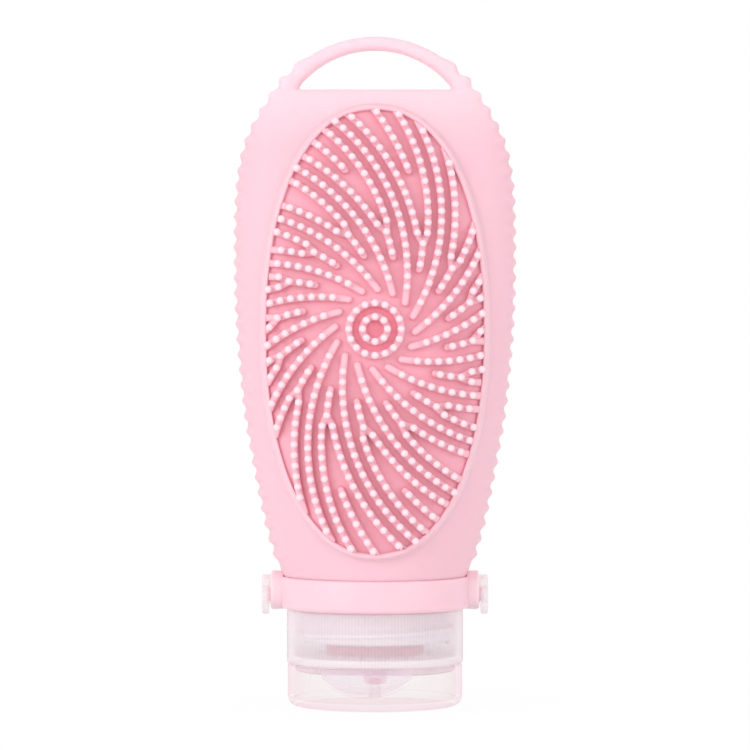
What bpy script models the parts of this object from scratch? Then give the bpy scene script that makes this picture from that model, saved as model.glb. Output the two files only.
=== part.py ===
"""Travel dispenser bottle with a brush face.

A soft bottle stands on its flip lid. The origin is the centre of the lid's flat end, +Z runs up
to the hanging loop and the brush faces -Y. Lengths are in metres.
"""
import math

import bmesh
import bpy
from mathutils import Matrix, Vector

MM = 0.001

# Clearances and overruns
FIT_GAP = 0.3 * MM            # between pieces that touch each other
SEAT_GAP = 0.6 * MM          # between the brush pad and the curved front that it lies on
OVERRUN = 1.0 * MM            # how far a cutting shape runs past the face that it cuts
BLEND_DEPTH = 0.35 * MM       # how deep a joined shape is sunk in what carries it

# Flip lid
LID_RADIUS = 18.15 * MM
LID_HEIGHT = 8.5 * MM
LID_WALL = 1.3 * MM
LID_END_THICKNESS = 1.5 * MM
LID_CORNER = 2.0 * MM
LID_BOSS_RADIUS = 4.9 * MM
LID_BOSS_RISE = 0.7 * MM
PLUG_RADIUS = 1.1 * MM
PLUG_REACH = 1.3 * MM         # how far the plug enters the spout
PLUG_TIP_SHARE = 0.75         # of the plug's radius, at its tip
PLUG_TAPER_SHARE = 0.5        # of the plug's reach, over which it tapers
THUMB_HALF_WIDTH = 10.0 * MM
THUMB_DROP = 5.0 * MM
THUMB_LEDGE = 1.6 * MM
THUMB_SIDES = 28

# Cap skirt, deck and spout
SKIRT_RADIUS = 18.3 * MM
SKIRT_WALL = 1.3 * MM
SKIRT_HEIGHT = 11.2 * MM
SKIRT_EDGE = 0.4 * MM
DECK_THICKNESS = 1.5 * MM
SEAT_LIP_WALL = 0.8 * MM
SEAT_LIP_DROP = 1.9 * MM
SPOUT_RADIUS = 2.4 * MM
SPOUT_TIP_RADIUS = 1.95 * MM
SPOUT_BORE_RADIUS = 1.45 * MM
SPOUT_LENGTH = 4.4 * MM
CAP_REST_TURN = math.radians(-6.3)

# Film hinge between the skirt and the lid
HINGE_HALF_WIDTH = 5.0 * MM
HINGE_STAND_OFF = 1.1 * MM
HINGE_FILM = 0.5 * MM
HINGE_ROOT = 2.2 * MM

# Screw thread
THREAD_PITCH = 3.0 * MM
THREAD_RISE = 1.0 * MM
THREAD_ROOT_WIDTH = 1.4 * MM
THREAD_CREST_WIDTH = 0.6 * MM
THREAD_LEAD_IN = 1.4 * MM
NECK_THREAD_TURNS = 1.25
CAP_THREAD_TURNS = 1.0
THREAD_STEPS_PER_TURN = 18
THREAD_END_SHARE = 0.25       # of the thread's rise, at its two ends

# Gasket, valve and its retainer
GASKET_THICKNESS = 0.9 * MM
GASKET_WIDTH = 4.8 * MM
VALVE_RADIUS = 8.5 * MM
VALVE_THICKNESS = 1.6 * MM
VALVE_MEMBRANE = 0.7 * MM
VALVE_RIM_WIDTH = 1.8 * MM
SLIT_LENGTH = 7.0 * MM
SLIT_WIDTH = 0.3 * MM
RETAINER_WALL = 1.4 * MM
RETAINER_LIP = 1.2 * MM
RETAINER_LIP_THICKNESS = 0.7 * MM

# Neck insert
INSERT_WALL = 2.4 * MM
THREAD_FLOAT = 0.6 * MM       # radial room between the neck thread's crest and the skirt's bore
FLANGE_THICKNESS = 1.2 * MM
SLEEVE_RADIUS = 14.8 * MM
SLEEVE_BORE_RADIUS = 12.9 * MM
SLEEVE_REACH = 7.0 * MM

# Collar with its bosses and pivots
COLLAR_RADIUS = 19.25 * MM
COLLAR_HEIGHT = 6.5 * MM
COLLAR_WALL = 2.25 * MM
COLLAR_LIP_WIDTH = 1.1 * MM
COLLAR_LIP_THICKNESS = 1.0 * MM
COLLAR_EDGE = 0.8 * MM
BOSS_RADIUS = 4.05 * MM
BOSS_THICKNESS = 1.4 * MM
BOSS_EDGE = 0.5 * MM
BOSS_STEM_RADIUS = 3.0 * MM
BOSS_RAISE = 0.35 * MM        # how far a boss's centre lies above the collar's middle
PIVOT_RADIUS = 1.5 * MM
PIVOT_DROP = 0.9 * MM         # how far a pivot lies below its boss's centre

# Bail
BAIL_THICKNESS = 1.5 * MM
BAIL_EYE_RADIUS = 4.1 * MM
BAIL_ARM_HEIGHT = 5.5 * MM
BAIL_REACH = 31.3 * MM
BAIL_CORNER = 8.0 * MM
BAIL_CHAMFER = 0.3 * MM
BAIL_EYE_STEP = 0.1 * MM       # how far an eye stands proud of its arm on each face
BAIL_PIVOT_FLOAT = 0.3 * MM
# The bar's height at two places back from the pivot, both as shares of the eye's radius
BAIL_TAPER_SHARES = ((0.0, 1.8), (1.0, 1.5))
BAIL_TAPER_END_SHARE = 2.0    # where, by that share, the bar has come down to its arm's height
BAIL_STATION_SHARES = (0.0, 0.12, 0.26, 0.45, 0.7)
BAIL_CORNER_STEPS = 4

# Bottle body
NECK_RADIUS = 16.7 * MM
NECK_WALL = 1.6 * MM
BODY_HALF_WIDTH = 29.5 * MM
BODY_HALF_DEPTH = 20.0 * MM
BODY_HEIGHT = 100.8 * MM
BODY_WALL = 2.2 * MM
BASE_CORNER = 1.25 * MM
TOP_EDGE = 0.6 * MM
TOP_EDGE_SHARES = (1 / 3, 0.25)  # of the top edge: a ring's drop below the top, and its inset
SHOULDER_THICKNESS = 2.4 * MM
TOP_WEB = 8.0 * MM            # solid stretch between the cavity and the flat top edge
TOOTH_PITCH = 3.2 * MM
TOOTH_DEPTH = 0.65 * MM
FIRST_TOOTH_RISE = 4.1 * MM
LOOP_RISE = 11.1 * MM
LOOP_THICKNESS = 2.9 * MM
LOOP_DEPTH = 4.2 * MM
LOOP_OUTER_RADIUS = 24.8 * MM
LOOP_SWELL = 1.6 * MM          # how much the loop's band widens from its apex to its legs
LOOP_ROOT_DEPTH = 3.4 * MM

# Shares of the body's height, half width and half depth, and the section's roundness there
BODY_STATION_SHARES = (
    (0.000, 0.675, 0.985, 2.0),
    (0.045, 0.726, 1.000, 2.0),
    (0.114, 0.790, 0.995, 2.1),
    (0.229, 0.868, 0.960, 2.3),
    (0.323, 0.925, 0.910, 2.4),
    (0.423, 0.963, 0.850, 2.5),
    (0.530, 0.990, 0.770, 2.6),
    (0.644, 1.000, 0.670, 2.6),
    (0.743, 0.998, 0.565, 2.6),
    (0.835, 0.975, 0.445, 2.6),
    (0.902, 0.919, 0.335, 2.7),
    (0.964, 0.812, 0.210, 3.0),
    (1.000, 0.733, 0.135, 3.3),
)
# Shares of the legs' rise and the body's half width, up the loop's legs
LEG_STATION_SHARES = ((0.393, 0.668), (0.832, 0.556))
ARCH_START_SHARE = 0.470
LOOP_INNER_TURN_SHARE = 0.88
LOOP_ROOT_WIDTH_SHARE = 0.93
COLUMN_ANGLES = (0, 5, 12, 28, 50, 70, 90)
TOOTH_FADE_SHARES = {0: 1.0, 5: 1.0, 12: 0.3}
CAVITY_HEIGHT_SHARES = (0.15, 0.32, 0.50, 0.68, 0.85, 1.0)

# Brush pad
PAD_HALF_WIDTH = 23.3 * MM
PAD_HALF_HEIGHT = 46.5 * MM
PAD_CENTRE_RISE = 50.8 * MM   # above the body's base
PAD_EXPONENT = 2.2
# Lines that the pad bends along: shares of its half width, and of its half height
PAD_SCORE_SHARES = ((-0.76, -0.4, 0.4, 0.76), (-0.52, 0.02, 0.55))
BACK_SCORE_SHARES = ((-0.9, -0.6, -0.2, 0.2, 0.6, 0.9), (-0.8, -0.25, 0.28, 0.8))
PAD_THICKNESS = 0.9 * MM
RIM_WIDTH = 1.5 * MM
RIM_RISE = 0.7 * MM
RIM_EDGE = 0.4 * MM
FIN_HEIGHT = 1.2 * MM
FIN_WIDTH = 1.55 * MM
FIN_TOP_WIDTH = 1.4 * MM
BRISTLE_RADIUS = 0.55 * MM
BRISTLE_HEIGHT = 2.7 * MM     # above the pad's floor
BRISTLE_PITCH = 2.15 * MM
BRISTLE_SIDES = 3
STATION_BRISTLES = 3          # how many bristles stand on each straight run of a fin
# Shares of the bristle pitch along a fin
FIRST_STATION_SHARE = 1.5
LAST_STATION_SHARE = 0.8
RIM_STEP_SHARE = 0.125
# A fin's rounded end: how far it reaches and how wide it is, as shares of the fin's width
FIN_NOSE_SHARES = (1 / 3, 0.5)
RING_RADIUS = 5.33 * MM
RING_BRISTLES = 16
HUB_RADIUS = 2.53 * MM
HUB_BRISTLES = 8
ARM_COUNT = 16
ARM_FIRST_ANGLE = math.radians(19.0)
# Each fin of the swirl by its first bristle: how far from the pad's centre, its angle past its
# arm's own, its heading past that angle, the radius of its curve and the bare tip before it
MAIN_START = 10.76 * MM
MAIN_ANGLES = (11.5, 32.7)
MAIN_CURVE = 40.4 * MM
MAIN_BARE_TIP = 3.2 * MM
STEM_START = 16.1 * MM
STEM_ANGLES = (13.6, 24.5)
STEM_BARE_TIP = 1.0 * MM
STEM_BRISTLES = 3
OUTER_START = 22.34 * MM
OUTER_ANGLES = (19.9, 23.6)
INNER_START = 21.47 * MM
INNER_ANGLES = (24.86, 34.4)
INNER_CURVE = 43.8 * MM
TWIG_START = 34.15 * MM
TWIG_ANGLES = (37.5, 32.7)
TWIG_CURVE = 53.0 * MM
TWIG_BARE_TIP = 1.0 * MM

# Heights worked out from the pieces, from the floor up
SKIRT_BASE = LID_HEIGHT + FIT_GAP
SKIRT_TOP = SKIRT_BASE + SKIRT_HEIGHT
DECK_TOP = SKIRT_BASE + DECK_THICKNESS
GASKET_BASE = DECK_TOP + FIT_GAP
INSERT_MOUTH = GASKET_BASE + GASKET_THICKNESS + FIT_GAP
COLLAR_BASE = SKIRT_TOP + FIT_GAP
COLLAR_TOP = COLLAR_BASE + COLLAR_HEIGHT
FLANGE_BASE = COLLAR_BASE + COLLAR_LIP_THICKNESS + FIT_GAP
FLANGE_TOP = FLANGE_BASE + FLANGE_THICKNESS
NECK_END = FLANGE_TOP + FIT_GAP
BODY_BASE = COLLAR_TOP + FIT_GAP
BODY_TOP = BODY_BASE + BODY_HEIGHT
LOOP_TOP = BODY_TOP + LOOP_RISE
FIRST_TOOTH = BODY_BASE + FIRST_TOOTH_RISE
PAD_CENTRE = BODY_BASE + PAD_CENTRE_RISE
LOOP_INNER_RADIUS = LOOP_OUTER_RADIUS - LOOP_THICKNESS - LOOP_SWELL
SKIRT_BORE = SKIRT_RADIUS - SKIRT_WALL
COLLAR_BORE = COLLAR_RADIUS - COLLAR_WALL
INSERT_RADIUS = SKIRT_BORE - THREAD_FLOAT - THREAD_RISE
HINGE_AXIS = Vector((0, SKIRT_RADIUS + HINGE_STAND_OFF, LID_HEIGHT + FIT_GAP / 2))
PIVOT_HEIGHT = COLLAR_BASE + COLLAR_HEIGHT / 2 + BOSS_RAISE - PIVOT_DROP


def clear_scene():
    for old in list(bpy.data.objects):
        bpy.data.objects.remove(old, do_unlink=True)


def plastic(name, colour, roughness, transmission=0.0, subsurface=0.0):
    """A Principled material for a moulded piece."""
    material = bpy.data.materials.new(name)
    material.use_nodes = True
    shader = material.node_tree.nodes["Principled BSDF"]
    shader.inputs["Base Color"].default_value = (*colour, 1.0)
    shader.inputs["Roughness"].default_value = roughness
    shader.inputs["Metallic"].default_value = 0.0
    shader.inputs["Transmission Weight"].default_value = transmission
    shader.inputs["Subsurface Weight"].default_value = subsurface
    material.diffuse_color = (*colour, 1.0)
    return material


def make_object(name, work_mesh, material=None, sharp_angle=35):
    """Turn a bmesh into a named object, shaded smooth up to the sharp angle."""
    mesh = bpy.data.meshes.new(name)
    work_mesh.to_mesh(mesh)
    work_mesh.free()
    made = bpy.data.objects.new(name, mesh)
    bpy.context.scene.collection.objects.link(made)
    if material:
        mesh.materials.append(material)
    mesh.shade_smooth()
    mesh.set_sharp_from_angle(angle=math.radians(sharp_angle))
    return made


def join(target, tool, operation):
    """Join or cut with a Boolean, apply it and drop the tool."""
    modifier = target.modifiers.new(operation.lower(), "BOOLEAN")
    modifier.operation = operation
    modifier.solver = "EXACT"
    modifier.object = tool
    bpy.context.view_layer.objects.active = target
    bpy.ops.object.modifier_apply(modifier=modifier.name)
    bpy.data.objects.remove(tool, do_unlink=True)
    target.data.shade_smooth()
    target.data.set_sharp_from_angle(angle=math.radians(35))


def set_origin(made, pivot, parent=None):
    """Move an object's origin to its pivot, with the mesh left where it is."""
    made.data.transform(Matrix.Translation(-pivot))
    made.location = pivot
    made.parent = parent


def add_loft(work_mesh, rings, closed_path=False):
    """Skin a list of rings of equal length into a closed body."""
    made = [[work_mesh.verts.new(point) for point in ring] for ring in rings]
    count = len(made[0])
    pairs = list(zip(made, made[1:]))
    if closed_path:
        pairs.append((made[-1], made[0]))
    for low, high in pairs:
        for i in range(count):
            j = (i + 1) % count
            work_mesh.faces.new((low[i], low[j], high[j], high[i]))
    if not closed_path:
        work_mesh.faces.new(list(reversed(made[0])))
        work_mesh.faces.new(made[-1])


def outward(work_mesh):
    bmesh.ops.recalc_face_normals(work_mesh, faces=work_mesh.faces)
    return work_mesh


def add_turned(work_mesh, profile, segments=36, matrix=Matrix.Identity(4)):
    """Turn a (radius, height) outline about Z; an outline that ends at radius 0 gets flat end faces."""
    rings = []
    for radius, height in profile:
        if radius > 0:
            angles = [2 * math.pi * i / segments for i in range(segments)]
            rings.append([matrix @ Vector((radius * math.cos(angle), radius * math.sin(angle), height))
                          for angle in angles])
    add_loft(work_mesh, rings, closed_path=len(rings) == len(profile))


def turned(name, profile, material=None, segments=36, matrix=Matrix.Identity(4)):
    work_mesh = bmesh.new()
    add_turned(work_mesh, profile, segments, matrix)
    return make_object(name, outward(work_mesh), material)


def corner_arc(centre_radius, centre_height, radius, start, end, steps=3):
    """Outline points of a rounded corner, from the start angle to the end angle in degrees."""
    points = []
    for i in range(steps + 1):
        angle = math.radians(start + (end - start) * i / steps)
        points.append((centre_radius + radius * math.cos(angle),
                       centre_height + radius * math.sin(angle)))
    return points


def smooth_curve(stations):
    """A smooth function through (place, value) stations, made of cubic pieces."""
    places = [station[0] for station in stations]
    values = [station[1] for station in stations]
    rises = [(values[i + 1] - values[i]) / (places[i + 1] - places[i])
             for i in range(len(places) - 1)]
    slopes = [rises[0]] + [(a + b) / 2 for a, b in zip(rises, rises[1:])] + [rises[-1]]

    def curve(place):
        place = min(max(place, places[0]), places[-1])
        i = max(k for k in range(len(rises)) if places[k] <= place)
        run = places[i + 1] - places[i]
        t = (place - places[i]) / run
        return ((1 + 2 * t) * (1 - t) ** 2 * values[i] + t * (1 - t) ** 2 * run * slopes[i]
                + t * t * (3 - 2 * t) * values[i + 1] + t * t * (t - 1) * run * slopes[i + 1])

    return curve


def arch_height(across):
    """Height of the loop's outer arc at a distance across from its middle."""
    centre = LOOP_TOP - LOOP_OUTER_RADIUS
    return centre + math.sqrt(LOOP_OUTER_RADIUS ** 2 - across ** 2)


def body_curves():
    """The outline over the teeth, the half depth and the section exponent, by height."""
    widths, depths, exponents = [], [], []
    for height_share, width_share, depth_share, exponent in BODY_STATION_SHARES:
        height = BODY_BASE + height_share * BODY_HEIGHT
        widths.append((height, width_share * BODY_HALF_WIDTH))
        depths.append((height, depth_share * BODY_HALF_DEPTH))
        exponents.append((height, exponent))
    arch_start = ARCH_START_SHARE * BODY_HALF_WIDTH
    leg_rise = arch_height(arch_start) - BODY_TOP
    for rise_share, width_share in LEG_STATION_SHARES:
        widths.append((BODY_TOP + rise_share * leg_rise, width_share * BODY_HALF_WIDTH))
    widths.append((BODY_TOP + leg_rise, arch_start))
    return smooth_curve(widths), smooth_curve(depths), smooth_curve(exponents)


OUTLINE_WIDTH, SIDE_DEPTH, SECTION_EXPONENT = body_curves()


def tooth_share(height):
    """1 at a tooth's tip and 0 in a valley, from the first valley up."""
    if height < FIRST_TOOTH - TOOTH_PITCH / 2:
        return 0.0
    return 0.5 + 0.5 * math.cos(2 * math.pi * (height - FIRST_TOOTH) / TOOTH_PITCH)


def front_depth(across, height):
    """How far the body's smooth front stands out at a place across and up."""
    width = OUTLINE_WIDTH(height) - TOOTH_DEPTH
    exponent = SECTION_EXPONENT(height)
    share = min(abs(across) / width, 1.0)
    return SIDE_DEPTH(height) * (1 - share ** exponent) ** (1 / exponent)


def column_list():
    """Each column's angle in degrees round the section, with its angle from the nearer side."""
    columns = [(angle, angle) for angle in COLUMN_ANGLES]
    columns += [(180 - angle, angle) for angle in reversed(COLUMN_ANGLES[:-1])]
    columns += [(180 + angle, angle) for angle in COLUMN_ANGLES[1:]]
    columns += [(360 - angle, angle) for angle in reversed(COLUMN_ANGLES[1:-1])]
    return columns


COLUMNS = column_list()


def body_section(height, inset=0.0, teeth=True):
    """A ring round the body at a height, drawn in by the inset."""
    width = OUTLINE_WIDTH(height) - TOOTH_DEPTH - inset
    depth = SIDE_DEPTH(height) - inset
    power = 2 / SECTION_EXPONENT(height)
    tooth = TOOTH_DEPTH * tooth_share(height) if teeth else 0.0
    ring = []
    for angle, from_side in COLUMNS:
        cosine = math.cos(math.radians(angle))
        sine = math.sin(math.radians(angle))
        across = width * math.copysign(abs(cosine) ** power, cosine)
        across += math.copysign(tooth * TOOTH_FADE_SHARES.get(from_side, 0.0), cosine)
        ring.append((across, depth * math.copysign(abs(sine) ** power, sine), height))
    return ring


def neck_ring(radius, height):
    return [(radius * math.cos(math.radians(angle)), radius * math.sin(math.radians(angle)), height)
            for angle, _ in COLUMNS]


def tooth_heights(low, high):
    """Heights of the tips and the valleys between two heights."""
    step = TOOTH_PITCH / 2
    first = math.ceil((low - FIRST_TOOTH) / step)
    last = math.floor((high - FIRST_TOOTH) / step)
    return [FIRST_TOOTH + i * step for i in range(first, last + 1)]


def build_bottle_body(material):
    """Soft shell with its neck, cavity, scalloped sides and hanging loop."""
    bore = NECK_RADIUS - NECK_WALL
    cavity_base = BODY_BASE + SHOULDER_THICKNESS
    cavity_rise = BODY_TOP - TOP_WEB - cavity_base
    rings = [body_section(cavity_base + share * cavity_rise, BODY_WALL, teeth=False)
             for share in reversed(CAVITY_HEIGHT_SHARES)]
    rings += [body_section(cavity_base + BASE_CORNER, BODY_WALL, teeth=False)]
    rings += [neck_ring(bore, cavity_base), neck_ring(bore, NECK_END)]
    rings += [neck_ring(NECK_RADIUS, NECK_END), neck_ring(NECK_RADIUS, BODY_BASE)]
    for turn in (90, 45, 0):
        inset = BASE_CORNER * (1 - math.cos(math.radians(turn)))
        lift = BASE_CORNER * (1 - math.sin(math.radians(turn)))
        rings.append(body_section(BODY_BASE + lift, inset))
    rings += [body_section(height)
              for height in tooth_heights(BODY_BASE + BASE_CORNER + OVERRUN / 2, BODY_TOP - TOP_EDGE)]
    drop_share, inset_share = TOP_EDGE_SHARES
    rings += [body_section(BODY_TOP - drop_share * TOP_EDGE, inset_share * TOP_EDGE),
              body_section(BODY_TOP, TOP_EDGE)]
    work_mesh = bmesh.new()
    add_loft(work_mesh, rings)
    body = make_object("bottle_body", outward(work_mesh), material)
    join(body, build_loop(), "UNION")
    return body


def build_loop():
    """The arch of the hanging loop, with its toothed legs and its roots inside the body."""
    inner_centre = LOOP_TOP - LOOP_THICKNESS - LOOP_INNER_RADIUS
    outer_centre = LOOP_TOP - LOOP_OUTER_RADIUS
    arch_start = ARCH_START_SHARE * BODY_HALF_WIDTH
    arch_turn = math.asin(arch_start / LOOP_OUTER_RADIUS)
    leg_top = arch_height(arch_start)
    outer = []
    for height in [BODY_TOP] + tooth_heights(BODY_TOP + TOP_EDGE, leg_top - TOP_EDGE):
        across = OUTLINE_WIDTH(height) - TOOTH_DEPTH * (1 - tooth_share(height))
        outer.append((across, height))
    arch_steps = 4
    for i in range(arch_steps + 1):
        turn = arch_turn * (1 - i / arch_steps)
        outer.append((LOOP_OUTER_RADIUS * math.sin(turn),
                      outer_centre + LOOP_OUTER_RADIUS * math.cos(turn)))
    stations = []
    for across, height in outer:
        turn = LOOP_INNER_TURN_SHARE * math.atan2(across, height - inner_centre)
        inner = (LOOP_INNER_RADIUS * math.sin(turn),
                 inner_centre + LOOP_INNER_RADIUS * math.cos(turn))
        stations.append(((across, height), inner))
    (root_across, _), (root_inner, _) = stations[0]
    root_height = BODY_TOP - LOOP_ROOT_DEPTH
    stations.insert(0, ((LOOP_ROOT_WIDTH_SHARE * root_across, root_height),
                        (LOOP_ROOT_WIDTH_SHARE * root_inner, root_height)))
    half = [loop_section(far, near, LOOP_DEPTH / 2) for far, near in stations]
    mirrored = [[(-x, y, z) for x, y, z in ring] for ring in reversed(half[:-1])]
    work_mesh = bmesh.new()
    add_loft(work_mesh, half + mirrored)
    return make_object("loop", outward(work_mesh))


def loop_section(far, near, half_depth, sides=10):
    """An oval ring between an outer and an inner point in the XZ plane."""
    ring = []
    for i in range(sides):
        angle = 2 * math.pi * i / sides
        share = 0.5 + 0.5 * math.cos(angle)
        ring.append((near[0] + share * (far[0] - near[0]), half_depth * math.sin(angle),
                     near[1] + share * (far[1] - near[1])))
    return ring


def pad_edge(angle, inset=0.0):
    """A place (across, height) on the pad's oval outline, drawn in by the inset."""
    power = 2 / PAD_EXPONENT
    cosine, sine = math.cos(angle), math.sin(angle)
    across = (PAD_HALF_WIDTH - inset) * math.copysign(abs(cosine) ** power, cosine)
    rise = (PAD_HALF_HEIGHT - inset) * math.copysign(abs(sine) ** power, sine)
    return across, PAD_CENTRE + rise


def inside_pad(across, height, inset):
    across_share = abs(across) / (PAD_HALF_WIDTH - inset)
    height_share = abs(height - PAD_CENTRE) / (PAD_HALF_HEIGHT - inset)
    return across_share ** PAD_EXPONENT + height_share ** PAD_EXPONENT < 1


def pad_point(across, height, level):
    """A point of the pad while it is still flat, at a level above its back."""
    return Vector((across, -level, height))


def wrap_on_front(pad):
    """Bend the flat pad to follow the body's front."""
    for vertex in pad.data.vertices:
        across, _, height = vertex.co
        vertex.co.y -= front_depth(across, height) + SEAT_GAP
    pad.data.update()


def score(work_mesh, faces, shares):
    """Cut faces along upright and level lines, without parting them."""
    across_shares, height_shares = shares
    lines = [(Vector((share * PAD_HALF_WIDTH, 0, 0)), Vector((1, 0, 0))) for share in across_shares]
    lines += [(Vector((0, 0, PAD_CENTRE + share * PAD_HALF_HEIGHT)), Vector((0, 0, 1)))
              for share in height_shares]
    for place, direction in lines:
        rims = dict.fromkeys(part for face in faces for part in face.edges[:] + face.verts[:])
        cut = bmesh.ops.bisect_plane(work_mesh, geom=faces + list(rims),
                                     plane_co=place, plane_no=direction)
        faces = [made for made in cut["geom"] if isinstance(made, bmesh.types.BMFace)]


def build_pad_base(material, columns=36):
    """The flat backing slice with its raised rim, scored where it will bend."""
    rim_top = PAD_THICKNESS + RIM_RISE
    work_mesh = bmesh.new()
    rings = []
    for inset, level in ((0.0, 0.0), (0.0, rim_top - RIM_EDGE), (RIM_EDGE, rim_top),
                         (RIM_WIDTH, rim_top), (RIM_WIDTH, PAD_THICKNESS)):
        edge = [pad_edge(2 * math.pi * i / columns, inset) for i in range(columns)]
        rings.append([pad_point(across, height, level) for across, height in edge])
    add_loft(work_mesh, rings)
    score(work_mesh, work_mesh.faces[:], PAD_SCORE_SHARES)
    back = [face for face in work_mesh.faces if all(vertex.co.y == 0 for vertex in face.verts)]
    score(work_mesh, back, BACK_SCORE_SHARES)
    return make_object("brush_pad", outward(work_mesh), material)


def swirl_arc(start_radius, angle, heading, curve_radius):
    """A function that walks along a fin from its first bristle: it gives a place and its heading."""
    start = Vector((start_radius * math.cos(angle), start_radius * math.sin(angle)))
    ahead = Vector((math.cos(heading), math.sin(heading))) * curve_radius
    side = Vector((-math.sin(heading), math.cos(heading))) * curve_radius

    def place(distance):
        turn = distance / curve_radius
        spot = start + ahead * math.sin(turn) + side * (1 - math.cos(turn))
        return spot.x, PAD_CENTRE + spot.y, heading + turn

    return place


def trace_fin(arm, start_radius, angles, curve_radius, bare_tip=0.0, limit=None):
    """Step along a fin until it has run into the rim, or has its bristles."""
    angle = arm + math.radians(angles[0])
    place = swirl_arc(start_radius, angle, angle + math.radians(angles[1]), curve_radius)
    bristles = []
    at_rim = False
    while limit is None or len(bristles) < limit:
        spot = place(len(bristles) * BRISTLE_PITCH)
        at_rim = not inside_pad(spot[0], spot[1], RIM_WIDTH + BRISTLE_RADIUS)
        if at_rim:
            break
        bristles.append(spot)
    end = len(bristles) * BRISTLE_PITCH
    if at_rim:
        end -= BRISTLE_PITCH
        while inside_pad(*place(end)[:2], RIM_WIDTH - BLEND_DEPTH):
            end += RIM_STEP_SHARE * BRISTLE_PITCH
    stations = [place(-bare_tip)] if bare_tip else []
    run = FIRST_STATION_SHARE * BRISTLE_PITCH
    while run < end - LAST_STATION_SHARE * BRISTLE_PITCH:
        stations.append(place(run))
        run += STATION_BRISTLES * BRISTLE_PITCH
    if at_rim:
        stations.append(place(end))
    return {"stations": stations, "bristles": bristles, "at_rim": at_rim, "forked": False}


def swirl_fins():
    """Every fin of the swirl: its stations, its bristles and whether it forks from another."""
    fins = []
    for i in range(ARM_COUNT):
        arm = ARM_FIRST_ANGLE + 2 * math.pi * i / ARM_COUNT
        main = trace_fin(arm, MAIN_START, MAIN_ANGLES, MAIN_CURVE, MAIN_BARE_TIP)
        stem = trace_fin(arm, STEM_START, STEM_ANGLES, MAIN_CURVE, STEM_BARE_TIP, STEM_BRISTLES)
        outer = trace_fin(arm, OUTER_START, OUTER_ANGLES, MAIN_CURVE)
        inner = trace_fin(arm, INNER_START, INNER_ANGLES, INNER_CURVE)
        twig = trace_fin(arm, TWIG_START, TWIG_ANGLES, TWIG_CURVE, TWIG_BARE_TIP)
        if inner["bristles"] and not stem["at_rim"]:
            inner["stations"].insert(0, stem["bristles"][-1])
            inner["forked"] = True
        if not stem["at_rim"]:
            stem["stations"] += outer["stations"]
            stem["bristles"] += outer["bristles"]
        fins += [fin for fin in (main, stem, inner, twig) if fin["bristles"]]
    return fins


def add_fin(work_mesh, stations):
    """A low wall with a flat top along its stations, rounded at its free end."""
    across, height, heading = stations[0]
    reach_share, width_share = FIN_NOSE_SHARES
    nose_reach = reach_share * FIN_WIDTH
    nose = (across - math.cos(heading) * nose_reach, height - math.sin(heading) * nose_reach, heading)
    rings = []
    for (across, height, heading), narrowing in [(nose, width_share)] + [(spot, 1.0) for spot in stations]:
        ring = []
        for width, level in ((-FIN_WIDTH, -BLEND_DEPTH), (-FIN_TOP_WIDTH, FIN_HEIGHT),
                             (FIN_TOP_WIDTH, FIN_HEIGHT), (FIN_WIDTH, -BLEND_DEPTH)):
            reach = width / 2 * narrowing
            ring.append(pad_point(across - math.sin(heading) * reach, height + math.cos(heading) * reach,
                                  PAD_THICKNESS + level))
        rings.append(ring)
    add_loft(work_mesh, rings)


def add_bristle(work_mesh, across, height, heading):
    """A three-sided bristle that tapers to its tip, rooted in its fin."""
    root = []
    for i in range(BRISTLE_SIDES):
        angle = heading + 2 * math.pi * i / BRISTLE_SIDES
        root.append(work_mesh.verts.new(pad_point(across + BRISTLE_RADIUS * math.cos(angle),
                                                  height + BRISTLE_RADIUS * math.sin(angle),
                                                  PAD_THICKNESS + FIN_HEIGHT - BLEND_DEPTH)))
    tip = work_mesh.verts.new(pad_point(across, height, PAD_THICKNESS + BRISTLE_HEIGHT))
    work_mesh.faces.new(root)
    for first, second in zip(root, root[1:] + root[:1]):
        work_mesh.faces.new((second, first, tip))


def ring_places(radius, count):
    places = []
    for i in range(count):
        angle = 2 * math.pi * i / count
        places.append((radius * math.cos(angle), PAD_CENTRE + radius * math.sin(angle), angle))
    return places


def add_ring_fin(work_mesh, radius, segments=16):
    """A ring-shaped fin about the pad's centre."""
    rings = []
    for width, level in ((-FIN_WIDTH, -BLEND_DEPTH), (-FIN_TOP_WIDTH, FIN_HEIGHT),
                         (FIN_TOP_WIDTH, FIN_HEIGHT), (FIN_WIDTH, -BLEND_DEPTH)):
        rings.append([pad_point(across, height, PAD_THICKNESS + level)
                      for across, height, _ in ring_places(radius + width / 2, segments)])
    add_loft(work_mesh, rings, closed_path=True)


def build_brush_pad(material):
    """Backing slice, rim, fins and bristles, fused into one body."""
    pad = build_pad_base(material)
    fins = swirl_fins()
    free_fins, forked_fins, bristles = bmesh.new(), bmesh.new(), bmesh.new()
    for fin in fins:
        add_fin(forked_fins if fin["forked"] else free_fins, fin["stations"])
    for radius in (RING_RADIUS, HUB_RADIUS):
        add_ring_fin(free_fins, radius)
    places = [spot for fin in fins for spot in fin["bristles"]]
    places += ring_places(RING_RADIUS, RING_BRISTLES) + ring_places(HUB_RADIUS, HUB_BRISTLES)
    for across, height, heading in places:
        add_bristle(bristles, across, height, heading)
    swirl = make_object("swirl", outward(free_fins))
    join(swirl, make_object("forked_fins", outward(forked_fins)), "UNION")
    join(pad, swirl, "UNION")
    join(pad, make_object("bristles", outward(bristles)), "UNION")
    wrap_on_front(pad)
    return pad


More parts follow.
